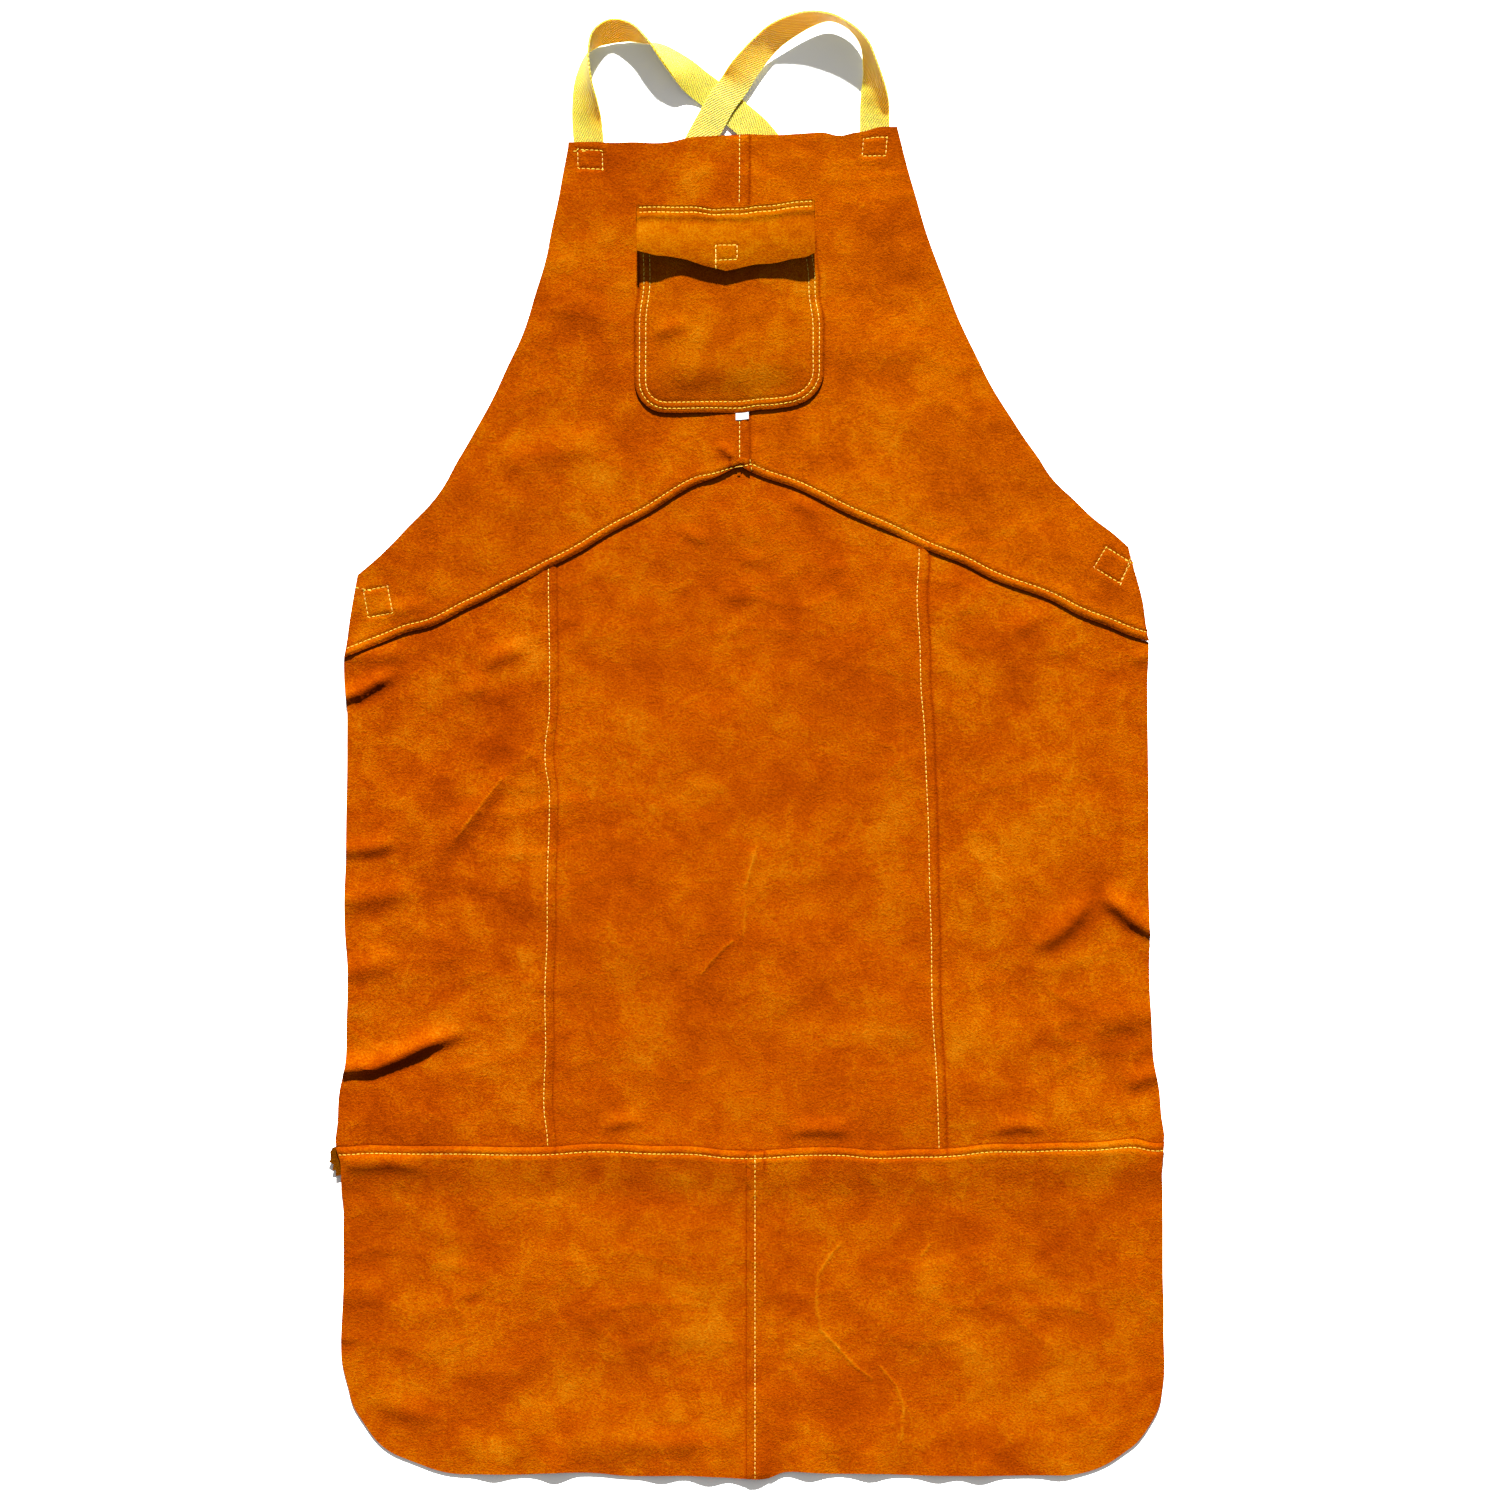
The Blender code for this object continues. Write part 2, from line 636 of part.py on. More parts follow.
def loop_route(rows, base_x):
    places = []
    for share, height, lean, clear in rows:
        x = base_x + (STRAP_CROSS_X - base_x) * share
        angle = math.radians(lean)
        z = clear + WEB_WIDTH / 2 * abs(math.sin(angle)) + WEB_THICKNESS / 2 * abs(math.cos(angle))
        places.append((x, top_y(x) + height, z, angle))
    return smooth_route(places)


def back_route(loop, end, heading):
    """From the bib's top edge, flat under the bib, to the strap's end in the waist corner."""
    start = loop[-1].xyz
    run_in = (loop[-1].xyz - loop[-3].xyz).normalized()
    end = Vector((end.x, end.y, STRAP_Z))
    start.z = STRAP_Z
    pull_out, pull_in = RUN_PULL
    curve = interpolate_bezier(
        start, start + run_in * pull_out, end - heading.normalized() * pull_in, end, 20
    )
    return [Vector((p.x, p.y, STRAP_Z, 0)) for p in curve]


def hinge_plane(offset, outward):
    """A cut along the bib's top edge, keeping what lies outside it or inside it."""
    x = BIB_TOP_SHIFT
    origin = Vector((x, top_y(x), 0)) + TOP_NORMAL * offset
    return (origin, -TOP_NORMAL if outward else TOP_NORMAL)


HINGE_POINT = Vector((BIB_TOP_SHIFT, top_y(BIB_TOP_SHIFT), STRAP_Z)) + TOP_NORMAL * STRAP_HINGE_OUT
outer_cut = hinge_plane(STRAP_HINGE_OUT + STRAP_HINGE_GAP, True)
inner_cut = hinge_plane(STRAP_HINGE_OUT - STRAP_HINGE_GAP, False)


def tab_route(base_x):
    y = top_y(base_x)
    return [
        Vector((base_x, y - TAB_LENGTH, STRAP_Z, 0)),
        Vector((base_x, y, STRAP_Z, 0)),
        Vector((base_x, y + STRAP_HINGE_OUT * 2, STRAP_Z, 0)),
    ]


# Where each hidden run ends, from its waist corner, and the way it points there.
LEFT_RUN_END = Vector((-0.0030, -0.0230, 0))
LEFT_RUN_HEADING = Vector((0.80, -0.60, 0))
RIGHT_RUN_END = Vector((0.0080, -0.0310, 0))
RIGHT_RUN_HEADING = Vector((-0.75, -0.66, 0))

for side, rows, base_x, end, heading in (
    ("left", LEFT_LOOP, BASE_LEFT_X, WAIST_CORNER_RIGHT + LEFT_RUN_END, LEFT_RUN_HEADING),
    ("right", RIGHT_LOOP, BASE_RIGHT_X, WAIST_CORNER_LEFT + RIGHT_RUN_END, RIGHT_RUN_HEADING),
):
    loop = loop_route(rows, base_x)
    ribbon(f"shoulder_strap_{side}_tab", tab_route(base_x), [inner_cut])
    on_axis(ribbon(f"shoulder_strap_{side}_loop", loop, [outer_cut]), HINGE_POINT)
    # The hidden run starts just outside the edge, in line with the loop's last stretch.
    last = [row for row in loop if row.y > top_y(row.x) + 0.001][-3:]
    back = back_route(last, end, heading)
    ribbon(f"shoulder_strap_{side}_back_run", back, [inner_cut])

# ---------------------------------------------------------------- stitching
LAPPED = LAP + STITCH_LIFT
BIB_ROW = BIB_LEVEL + STITCH_LIFT
BIB_LAPPED_ROW = BIB_LEVEL + LAPPED
END_MARGIN = 0.0015
ROW_INSET = 0.0030
FLAP_ROW_UPPER_IN = 0.0020
FLAP_ROW_LOWER_IN = 0.0012


def straight(name, start, end, z):
    stitching(name, [(*start, z), (*end, z)])


straight(
    "skirt_seam_stitch_left",
    (SEAM_LEFT_X, waist_fold(SEAM_LEFT_X) - END_MARGIN),
    (SEAM_LEFT_X, HEM_Y + END_MARGIN),
    LAPPED,
)
straight(
    "skirt_seam_stitch_right",
    (right_seam(APEX_Y), waist_fold(right_seam(APEX_Y)) - 2 * END_MARGIN),
    (right_seam(HEM_Y), HEM_Y + END_MARGIN),
    LAPPED,
)
straight(
    "bib_centre_stitch_upper",
    (BIB_SEAM_X, top_y(BIB_SEAM_X) - END_MARGIN),
    (BIB_SEAM_X, flap_line(BIB_SEAM_X) + band_top + END_MARGIN),
    BIB_LAPPED_ROW,
)
straight(
    "bib_centre_stitch_lower",
    (BIB_SEAM_X, POCKET_BOTTOM - LABEL_LENGTH - 2 * END_MARGIN),
    (BIB_SEAM_X, waist_stitch(BIB_SEAM_X) + END_MARGIN),
    BIB_LAPPED_ROW,
)
straight(
    "hem_centre_stitch",
    (HEM_SEAM_X, SKIRT_FOOT - GAP - LAP_RAMP - END_MARGIN),
    (HEM_SEAM_X, BOTTOM_Y + END_MARGIN),
    LAPPED,
)


def waist_row(name, start, end, level, count):
    stitching(name, [(x, waist_stitch(x), level) for x in spaced(start, end, count)])


ramp_start = BIB_SEAM_X - UNDERLAP - GAP - LAP_RAMP
waist_row("waist_seam_stitch_left", SKIRT_LEFT + ROW_INSET, ramp_start - END_MARGIN, BIB_ROW, 9)
waist_row("waist_seam_stitch_right", BIB_LAP_EDGE + END_MARGIN, SKIRT_RIGHT - ROW_INSET, BIB_ROW, 10)
straight(
    "hem_seam_stitch_left",
    (HEM_LEFT + END_MARGIN, HEM_STITCH_Y),
    (HEM_SEAM_X - EDGE_TO_STITCH - END_MARGIN, HEM_STITCH_Y),
    BIB_ROW,
)
straight(
    "hem_seam_stitch_right",
    (HEM_SEAM_X + UNDERLAP + GAP + LAP_RAMP + END_MARGIN, HEM_STITCH_Y),
    (HEM_RIGHT - END_MARGIN, HEM_STITCH_Y),
    BIB_ROW,
)
for name, inset in (("outer", POCKET_ROW_OUTER), ("inner", POCKET_ROW_INNER)):
    row = [(x, y, TRIM_LEVEL + STITCH_LIFT) for x, y in pocket_edge(inset)]
    stitching(f"pocket_stitch_{name}", row)
for name, offset in (
    ("upper", band_top - FLAP_ROW_UPPER_IN),
    ("lower", FLAP_HINGE_GAP + FLAP_ROW_LOWER_IN),
):
    ends = (FLAP_LEFT + ROW_INSET, FLAP_RIGHT - ROW_INSET)
    row = [(x, flap_line(x) + offset, TRIM_LEVEL + STITCH_LIFT) for x in ends]
    stitching(f"flap_stitch_{name}", row)


def box_stitch(name, middle, width, height, turn, level):
    """A closed rectangle of thread, turned about its middle."""
    c, s = math.cos(math.radians(turn)), math.sin(math.radians(turn))
    corners = []
    for u, v in ((-1, -1), (1, -1), (1, 1), (-1, 1)):
        a, b = u * width / 2, v * height / 2
        corners.append((middle[0] + a * c - b * s, middle[1] + a * s + b * c, level))
    return stitching(name, corners, closed=True)


BOX_DROP = 0.0150
# Name, middle, width, height and turn in degrees of the box sewn over each strap's end.
STRAP_BOXES = (
    ("shoulder_stitch_left", (BASE_LEFT_X, top_y(BASE_LEFT_X) - BOX_DROP), 0.0215, 0.0160, 0),
    ("shoulder_stitch_right", (BASE_RIGHT_X, top_y(BASE_RIGHT_X) - BOX_DROP), 0.0200, 0.0150, -4),
    ("waist_stitch_left", WAIST_CORNER_LEFT + Vector((0.0178, -0.0225, 0)), 0.0200, 0.0230, 12),
    ("waist_stitch_right", WAIST_CORNER_RIGHT + Vector((-0.0135, -0.0150, 0)), 0.0240, 0.0195, -32),
)
for box in STRAP_BOXES:
    box_stitch(*box, BIB_ROW)

# The closure's row of thread follows the curled flap, so it moves with it.
closure = []
for x, y in patch_outline:
    closure.append((x, y, TRIM_LEVEL + flap_rise(x, y) + STITCH_LIFT + GAP))
stitch = stitching("flap_patch_stitch", closure, closed=True)
for point in stitch.data.splines[0].points:
    point.co = (*(point.co.xyz - flap.location), 1)
stitch.location = flap.location
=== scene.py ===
"""Looks of a split-cowhide welding apron with crossed webbing shoulder straps, laid flat.

Metres, +Z up, +Y towards the bib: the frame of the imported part. Each panel is cut from the
outline of its own solid, laid over the layers below it, creased by one relief that all the
layers share, and given its thickness. Thread, webbing and trim are then laid on top.
"""

import json
import math

import bmesh
import bpy
import numpy as np
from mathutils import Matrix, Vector, kdtree, noise
from mathutils.bvhtree import BVHTree
from mathutils.geometry import delaunay_2d_cdt, interpolate_bezier


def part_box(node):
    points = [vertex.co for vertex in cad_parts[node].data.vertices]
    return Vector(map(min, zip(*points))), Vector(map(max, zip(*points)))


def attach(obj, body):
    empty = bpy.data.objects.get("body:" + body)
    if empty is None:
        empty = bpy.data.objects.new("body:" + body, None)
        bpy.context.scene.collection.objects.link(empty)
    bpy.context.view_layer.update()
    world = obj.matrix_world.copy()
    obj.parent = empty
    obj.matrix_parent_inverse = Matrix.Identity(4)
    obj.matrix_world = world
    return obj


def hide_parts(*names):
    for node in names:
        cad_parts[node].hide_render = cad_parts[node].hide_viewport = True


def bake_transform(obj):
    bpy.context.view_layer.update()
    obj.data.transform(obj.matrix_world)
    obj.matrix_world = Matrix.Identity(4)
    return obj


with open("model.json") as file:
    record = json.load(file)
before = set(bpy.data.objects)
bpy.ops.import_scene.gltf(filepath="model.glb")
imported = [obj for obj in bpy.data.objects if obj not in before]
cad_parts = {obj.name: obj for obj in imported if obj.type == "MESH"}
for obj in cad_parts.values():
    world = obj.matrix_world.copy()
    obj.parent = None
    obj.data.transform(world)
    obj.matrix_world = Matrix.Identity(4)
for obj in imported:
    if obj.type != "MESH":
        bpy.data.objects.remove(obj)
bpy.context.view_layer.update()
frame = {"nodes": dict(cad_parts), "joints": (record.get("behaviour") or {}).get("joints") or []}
nodes = frame["nodes"]
joints = {joint["name"]: joint for joint in frame["joints"]}

# ---------------------------------------------------------------- sizes
LEATHER = 0.0014
TAPE = 0.0008
LABEL = 0.0004
CELL = 0.0032   # spacing of a panel's points
FLAP_CELL = 0.0026
SMALL_CELL = 0.0015
EDGE_STEP = 0.0026
ROW_RISE = 0.866                          # rows of points in a triangle grid, in cells
CLEAR_OF_POINTS = 0.55                    # nearest that a grid point may be to another, in cells
CLEAR_OF_EDGE = 0.0006
EASE_SHARE = 0.6                          # how much a height takes from its neighbours'
SHARP_RIM = math.radians(50)
CORNER_TURN = math.radians(24)            # an outline's sharper turns stay sharp
ROW_STEP = 0.0026                         # spacing of the points along a seam's groove
GROOVE_OFFSETS = (-0.0050, -0.0030, -0.0016, -0.0007, 0.0, 0.0007, 0.0016, 0.0030, 0.0050)
GROOVE_DEPTH = 0.00055
GROOVE_WIDTH = 0.0012
PUFF_HEIGHT = 0.00035                     # the strip that swells beside a groove,
PUFF_OFFSET = 0.0036                      # how far from the thread it stands,
PUFF_WIDTH = 0.0020                       # and over what width
STITCH_PITCH = 0.0039
STITCH_LENGTH = 0.0028
STITCH_SEED = 4
THREAD_RADIUS = 0.00042
THREAD_LIFT = 0.05 * THREAD_RADIUS
SEWN_STEP = 0.0013                        # spacing of the points that lay a row on its leather
TURNED_WITHIN = 0.0110                    # an edge this near its stitches is turned under
TURNED_DROP = 0.0014                      # how far the turned edge rounds down,
TURNED_REACH = 0.0020                     # and over what width
CONTACT_SHADE = 1.0                       # painted shade in the corner beside a turned edge
CONTACT_REACH = 0.0011
UNDERLAP_TRIM = 0.007                     # a skirt's side steps in this far under the bib,
UNDERLAP_BELOW = 0.0062                   # from this far below the waist stitches,
UNDERLAP_SIDE = 0.31                      # on the part of its outline past this x
SCAR_HEIGHT = 0.0005                      # healed scratches in the hide: raised and paler
SCAR_REACH = 0.0013
SCAR_PALE = 0.5
WEB_WIDTH = 0.025
WEB_THICKNESS = 0.0016

# Where the sewn apron lies off its pattern, in mm: x, y, then how far it has moved.
SWAY_MM = (
    # left side, from the shoulder down
    (-155, 556, 2, 0), (-165, 505, 2, 0), (-178, 455, 4, 0), (-194, 404, 5, 0), (-216, 353, 3, 0),
    (-242, 303, 2, 0), (-267, 265, 5, 0), (-299, 226, 1, 0), (-336, 150, -2, 0), (-340, 120, -3, 0),
    (-340, 74, 0, 0), (-340, -30, -1, 0), (-340, -78, -2, 0), (-341, -154, 2, 0), (-342, -204, 2, 0),
    (-344, -255, -4, 0), (-344, -281, -6, 0), (-344, -306, 0, 0), (-344, -345, 2, 0),
    (-344, -382, 2, 0), (-340, -483, -1, 0), (-329, -509, -4, -1), (-308, -534, -4, -4),
    # right side
    (138, 531, -1, 0), (154, 480, -2, 0), (184, 404, -3, 0), (210, 353, -4, 0), (243, 303, -4, 0),
    (263, 277, -7, 0), (287, 252, -4, 0), (314, 226, 0, 0), (330, 176, 2, 0), (338, 100, -1, 0),
    (338, -78, -1, 0), (342, -154, -3, 0), (345, -204, -3, 0), (348, -255, 1, 0), (349, -281, 4, 0),
    (350, -306, -1, 0), (350, -382, 0, 0), (350, -433, 1, 0), (349, -483, 2, 0), (342, -509, 4, -1),
    (325, -534, 4, -2),
    # bib's top edge
    (-143, 563, 0, -1), (-109, 565, 0, -3), (-75, 567, 0, -5), (-41, 568, 0, -1), (-8, 570, 0, -1),
    (26, 571, 0, -3), (60, 573, 0, -2), (77, 574, 0, -7), (94, 575, 0, -4), (111, 576, 0, 0),
    # waist seam
    (-298, 145, 0, 0), (-263, 160, 0, -5), (-230, 175, 0, -3), (-193, 193, 0, -2),
    (-160, 208, 0, -1), (-105, 236, 0, 3), (-50, 264, 0, 7), (-17, 281, 0, 4), (3, 282, 0, 1),
    (43, 264, 0, 5), (110, 234, 0, 3), (178, 205, 0, 2), (208, 193, 0, -1), (249, 177, 0, 1),
    (285, 163, 0, -3), (320, 150, 0, -4),
    # hem seam
    (-319, -286, 0, 2), (-254, -286, 0, 1), (-190, -286, 0, 0), (-126, -286, 0, 3),
    (-62, -286, 0, 1), (-5, -286, 0, -3), (68, -286, 0, 0), (112, -286, 0, -3), (155, -286, 0, -2),
    (212, -286, 0, 3), (269, -286, 0, 4), (325, -286, 0, 8), (353, -286, 0, 8),
    # bottom edge
    (-270, -557, 0, -1), (-219, -564, 0, 0), (-143, -564, 0, 2), (-92, -564, 0, -1),
    (9, -564, 0, -4), (35, -564, 0, 3), (85, -564, 0, 1), (187, -564, 0, -1), (313, -544, 0, -3),
    # skirt seams
    (-170, 122, 1, 0), (-170, 89, 1, 0), (-170, 45, -3, 0), (-170, 7, 1, 0), (-170, -78, -1, 0),
    (-170, -162, -3, 0), (-170, -247, -4, 0), (148, 174, -4, 0), (149, 109, -3, 0),
    (151, 50, -1, 0), (155, -78, -1, 0), (157, -162, -2, 0), (160, -270, 0, 0),
    # pocket
    (-96, 447, 4, 0), (-96, 405, 0, 0), (-96, 369, 0, 0), (63, 475, -7, 0), (63, 439, -4, 0),
    (63, 405, 0, 0), (-67, 334, 0, 0), (-11, 334, 0, 0), (14, 334, 0, 3), (35, 334, 0, 5),
)
# The flap's own drift, also used where a piece should stay on its pattern.
FLAP_SWAY_MM = (
    (-95, 507, 0, 0), (-50, 507, 0, -1), (-28, 508, 0, -5), (-8, 509, 0, -5), (14, 510, 0, -3),
    (50, 511, 0, 0), (-95, 488, 0, 0), (-95, 466, 0, 6), (-88, 466, 0, 2),
    (-79, 467, 0, -1), (-56, 466, 0, 0), (-38, 459, 0, -2), (-19, 453, 0, 0), (3, 459, 0, 1),
    (21, 460, 0, -1), (46, 463, 0, 0), (49, 463, 0, 2), (55, 463, 1, 9), (56, 490, 0, 0),
    (-19, 480, 0, -1),
)
SWAY_REACH = 0.060
SWAY_TIGHT = 0.006
SWAY_REST = 300.0                         # pull back to the pattern, against 1/distance squared

# Creases: points along the crest in mm, height in mm, and how far it spreads up and down.
CREASES_MM = (
    (((-344, -222), (-316, -220), (-293, -211), (-270, -200), (-236, -190)), 6.5, 11, 4),
    (((-342, 93), (-329, 96), (-315, 105), (-297, 112)), 5.0, 9, 3.5),
    (((-341, -37), (-319, -35), (-295, -29)), 3.2, 9, 5),
    (((-337, -78), (-312, -75), (-282, -69)), 2.6, 12, 8),
    (((-342, -139), (-320, -135), (-295, -130)), 2.6, 12, 8),
    (((-335, 129), (-312, 128), (-286, 134)), 2.2, 9, 7),
    (((-319, 170), (-295, 167), (-268, 172)), 1.8, 7, 6),
    (((-270, -49), (-248, -24), (-227, 2), (-209, 24), (-192, 42)), 2.2, 9, 7),
    (((-229, 118), (-210, 128), (-183, 138)), 2.4, 10, 7),
    (((-248, 91), (-232, 100), (-217, 106)), 1.8, 9, 7),
    (((234, -120), (254, -112), (271, -99), (284, -82), (290, -69)), 4.0, 12, 6),
    (((295, -72), (309, -82), (324, -95), (340, -105)), 5.5, 12, 5),
    (((284, -181), (312, -177), (341, -175)), 2.4, 14, 9),
    (((313, -233), (330, -230), (346, -225)), 2.4, 9, 6),
    (((337, 129), (322, 125)), 1.6, 6, 6),
    (((212, 142), (237, 157), (263, 166)), 1.6, 10, 7),
    (((7, -32), (-1, -59), (-6, -82), (-7, -108)), 0.6, 4, 4),
    (((-14, -108), (-28, -123), (-41, -140), (-44, -150)), 0.6, 4, 4),
    (((26, -275), (60, -272), (95, -274)), 2.4, 9, 4),
    (((-126, -270), (-102, -265), (-85, -269)), 2.0, 8, 4),
    (((199, -274), (229, -269), (256, -272)), 2.4, 9, 4),
    (((-335, -302), (-303, -300), (-270, -305)), 2.6, 8, 5),
    (((-329, -496), (-295, -509), (-253, -515)), 2.4, 14, 9),
    (((-117, -534), (-58, -539), (-8, -535)), 1.8, 12, 9),
    (((-28, 308), (-19, 301), (-11, 293)), 2.4, 5, 3),
    (((5, 314), (4, 301), (5, 284)), 1.4, 4, 4),
    (((-172, 429), (-143, 419), (-113, 414)), 1.5, 16, 12),
    (((-210, 286), (-172, 301), (-134, 307), (-109, 304)), 1.7, 18, 12),
    (((81, 522), (106, 501), (128, 472)), 1.3, 16, 12),
    (((81, 404), (119, 385), (161, 379)), 1.2, 16, 12),
    (((-82, 399), (-68, 404), (-52, 411)), 1.8, 7, 5),
    (((-62, 238), (-46, 229), (-30, 225)), 1.4, 6, 4),
    (((-12, 215), (2, 209), (16, 211)), 1.1, 6, 4),
    (((-24, 181), (-8, 177), (10, 178)), 1.0, 6, 4),
    (((66, 207), (84, 200)), 1.1, 5, 4),
    (((32, 262), (50, 252), (62, 246)), 1.3, 6, 4),
)
# Healed scratches, each as stretches of its line in mm, with the panel that carries it.
SCARS_MM = (
    ("hem_panel_right", ((77, -368), (68, -379), (58, -395), (57, -422), (61, -441), (75, -456))),
    ("hem_panel_right", ((75, -456), (90, -472), (104, -482))),
    ("hem_panel_right", ((110, -471), (124, -487), (131, -506), (129, -533))),
    ("hem_panel_right", ((152, -369), (146, -378))),
    ("skirt_panel_centre", ((7, -32), (1, -52), (-3, -66))),
    ("skirt_panel_centre", ((-3, -86), (-5, -108))),
    ("skirt_panel_centre", ((-14, -112), (-28, -125), (-40, -140))),
    ("skirt_panel_left", ((-247, -25), (-227, 2), (-209, 24))),
)
# Rubbed or dirtied places: x, y and radius in mm, and how much darker (or, below 0, paler).
SMUDGES_MM = (
    (-209, 45, 14, 0.5), (-259, -62, 16, 0.5), (-65, 33, 14, 0.3), (-23, 519, 13, 0.5),
    (-18, 540, 11, 0.4), (-147, 509, 16, 0.3), (141, 494, 14, 0.3), (-131, -308, 8, 0.6),
    (-316, -358, 24, 0.3), (-194, -459, 18, 0.3), (-152, -522, 11, 0.35), (103, -395, 22, 0.4),
    (82, -491, 18, 0.4), (288, -433, 18, 0.45), (241, -470, 16, 0.35), (56, -317, 18, 0.4),
    (28, -500, 14, 0.3), (-66, 222, 16, 0.25), (-30, 200, 20, 0.2), (-137, -390, 17, -0.35),
    (-210, -543, 18, -0.35), (-36, -417, 14, -0.25),
)
# The bottom edge lies flat on the ground but for these lifted waves: x and height in mm.
LIFTS_MM = (
    (-216, 2.6), (-164, 4.2), (-74, 2.6), (-35, 3.6), (2, 3.4), (50, 3.6), (102, 3.0), (159, 2.6),
    (195, 3.2), (262, 1.6),
)
LIFT_REACH = (0.013, 0.022)
BOTTOM_Y = -0.5635
CORNER_CENTRES = ((-0.2325, -0.4515, 0.112), (0.2575, -0.4715, 0.092))
PRESSED_WIDTH = 0.030
PRESSED_SHARE = 0.12                      # what is left of the relief at the pressed edge
# The relief is pressed flat round the label's root, which its fold turns about: x, y, reach.
HELD_FLAT = (-0.0058, 0.331, 0.020)
HELD_SHARE = 0.96
CREASE_TAPER = 0.34                       # share of a crease's length that fades at each end

# Soft swell of the hide: wavelength and height.
SWELLS = ((0.130, 0.0022), (0.055, 0.0013), (0.024, 0.0006), (0.011, 0.00022))
SWELL_BASE = 0.0016
WRINKLE_SPACING = 0.038
WRINKLE_HEIGHT = 0.0009
WRINKLE_BEND = (0.012, 0.05)              # how far wrinkles wander, and over what length
WRINKLE_SHARPNESS = 12
LEAST_HEIGHT = 0.0004
SIDE_MM = 330                             # a crease that starts or ends past this runs off the edge


# ---------------------------------------------------------------- relief and drift
SWAY = np.array(SWAY_MM, float) / 1000
FLAP_SWAY = np.array(FLAP_SWAY_MM, float) / 1000


def sway(points, table):
    """How far the pattern's points have moved, from the nearest of the known moves."""
    squared = ((points[:, None, :] - table[None, :, :2]) ** 2).sum(2)
    weight = np.exp(-squared / SWAY_REACH**2) / (squared + SWAY_TIGHT**2)
    return (weight @ table[:, 2:]) / (weight.sum(1) + SWAY_REST)[:, None]


def along(points, path):
    """Each point's signed distance from a path, left of its direction, and its share of the way."""
    path = np.asarray(path, float)
    lengths = np.linalg.norm(np.diff(path, axis=0), axis=1)
    starts = np.concatenate([[0], np.cumsum(lengths)])
    best = np.full(len(points), np.inf)
    signed = np.zeros(len(points))
    share = np.zeros(len(points))
    for a, b, length, start in zip(path, path[1:], lengths, starts):
        step = (b - a) / length
        off = points - a
        t = np.clip(off @ step, 0, length)
        gap = off - t[:, None] * step
        distance = np.hypot(gap[:, 0], gap[:, 1])
        nearer = distance < best
        side = np.where(step[0] * off[:, 1] - step[1] * off[:, 0] < 0, -1.0, 1.0)
        best = np.where(nearer, distance, best)
        signed = np.where(nearer, side * distance, signed)
        share = np.where(nearer, (start + t) / starts[-1], share)
    return signed, share


def smooth_noise(points, wavelength, seed):
    """Soft noise from -1 to 1 at each point."""
    values = [noise.noise((x / wavelength, y / wavelength, seed)) for x, y in points]
    return np.array(values)


def relief(points):
    """Height of the creases and the swell over the flat layers, never below zero."""
    height = np.full(len(points), SWELL_BASE)
    for seed, (wavelength, size) in enumerate(SWELLS):
        height += size * smooth_noise(points * (0.7, 1.0), wavelength, 3.7 + 5 * seed)
    # Soft wrinkles where the hide has been folded away: ridges of a stretched, bent noise.
    reach, length = WRINKLE_BEND
    wander = [smooth_noise(points, length, seed) for seed in (31.0, 47.0)]
    bent = points + reach * np.stack(wander, 1)
    ridge = 1 - np.abs(smooth_noise(bent * (0.45, 1.0), WRINKLE_SPACING, 59.0))
    patchy = np.clip(smooth_noise(points, 0.12, 71.0) + 0.3, 0, 1)
    height += WRINKLE_HEIGHT * patchy * np.clip(ridge, 0, 1) ** WRINKLE_SHARPNESS
    for path, size, behind, ahead in CREASES_MM:
        signed, share = along(points * 1000, path)
        spread = np.where(signed > 0, behind, ahead)
        # A path that runs to the left has its upper side on its right.
        if path[0][0] > path[-1][0]:
            spread = np.where(signed > 0, ahead, behind)
        ends = np.clip(np.minimum(share, 1 - share) / CREASE_TAPER, 0, 1)
        # A crease that runs off the side keeps its height there.
        ends_outside = abs(path[-1][0]) > SIDE_MM
        if ends_outside or abs(path[0][0]) > SIDE_MM:
            inner = share if ends_outside else 1 - share
            ends = np.clip(inner / CREASE_TAPER, 0, 1)
        height += size / 1000 * ends * np.exp(-((signed / spread) ** 2))
    eased = LEAST_HEIGHT * np.exp(np.minimum(height, LEAST_HEIGHT) / LEAST_HEIGHT - 1)
    height = np.where(height > LEAST_HEIGHT, height, eased)
    return settled(points, height)


def settled(points, height):
    """The relief pressed flat near the bottom edge, and lifted there in a few short waves."""
    inward = points[:, 1] - BOTTOM_Y
    for x, y, radius in CORNER_CENTRES:
        off = points - (x, y)
        in_corner = (off[:, 0] * math.copysign(1, x) > 0) & (off[:, 1] < 0)
        inward = np.where(in_corner, radius - np.hypot(off[:, 0], off[:, 1]), inward)
    share = np.clip(inward / PRESSED_WIDTH, 0, 1)
    height = height * (PRESSED_SHARE + (1 - PRESSED_SHARE) * share * share * (3 - 2 * share))
    off = points - HELD_FLAT[:2]
    height = height * (1 - HELD_SHARE * np.exp(-((off**2).sum(1)) / HELD_FLAT[2] ** 2))
    for x, size in LIFTS_MM:
        across = (points[:, 0] - x / 1000) / LIFT_REACH[0]
        height += size / 1000 * np.exp(-(across**2) - (np.maximum(inward, 0) / LIFT_REACH[1]) ** 2)
    return height


# ---------------------------------------------------------------- reading the solids
def merged_top(name):
    """Positions and faces of a solid's upper side, seen from above, with its corners joined."""
    mesh = nodes[name].data
    ids, points, faces = {}, [], []
    for face in mesh.polygons:
        if face.normal.z < 0.15:
            continue
        ring = []
        for index in face.vertices:
            co = mesh.vertices[index].co
            key = (round(co.x, 5), round(co.y, 5))
            if key not in ids:
                ids[key] = len(points)
                points.append(co.copy())
            ring.append(ids[key])
        faces.append(ring)
    return points, faces


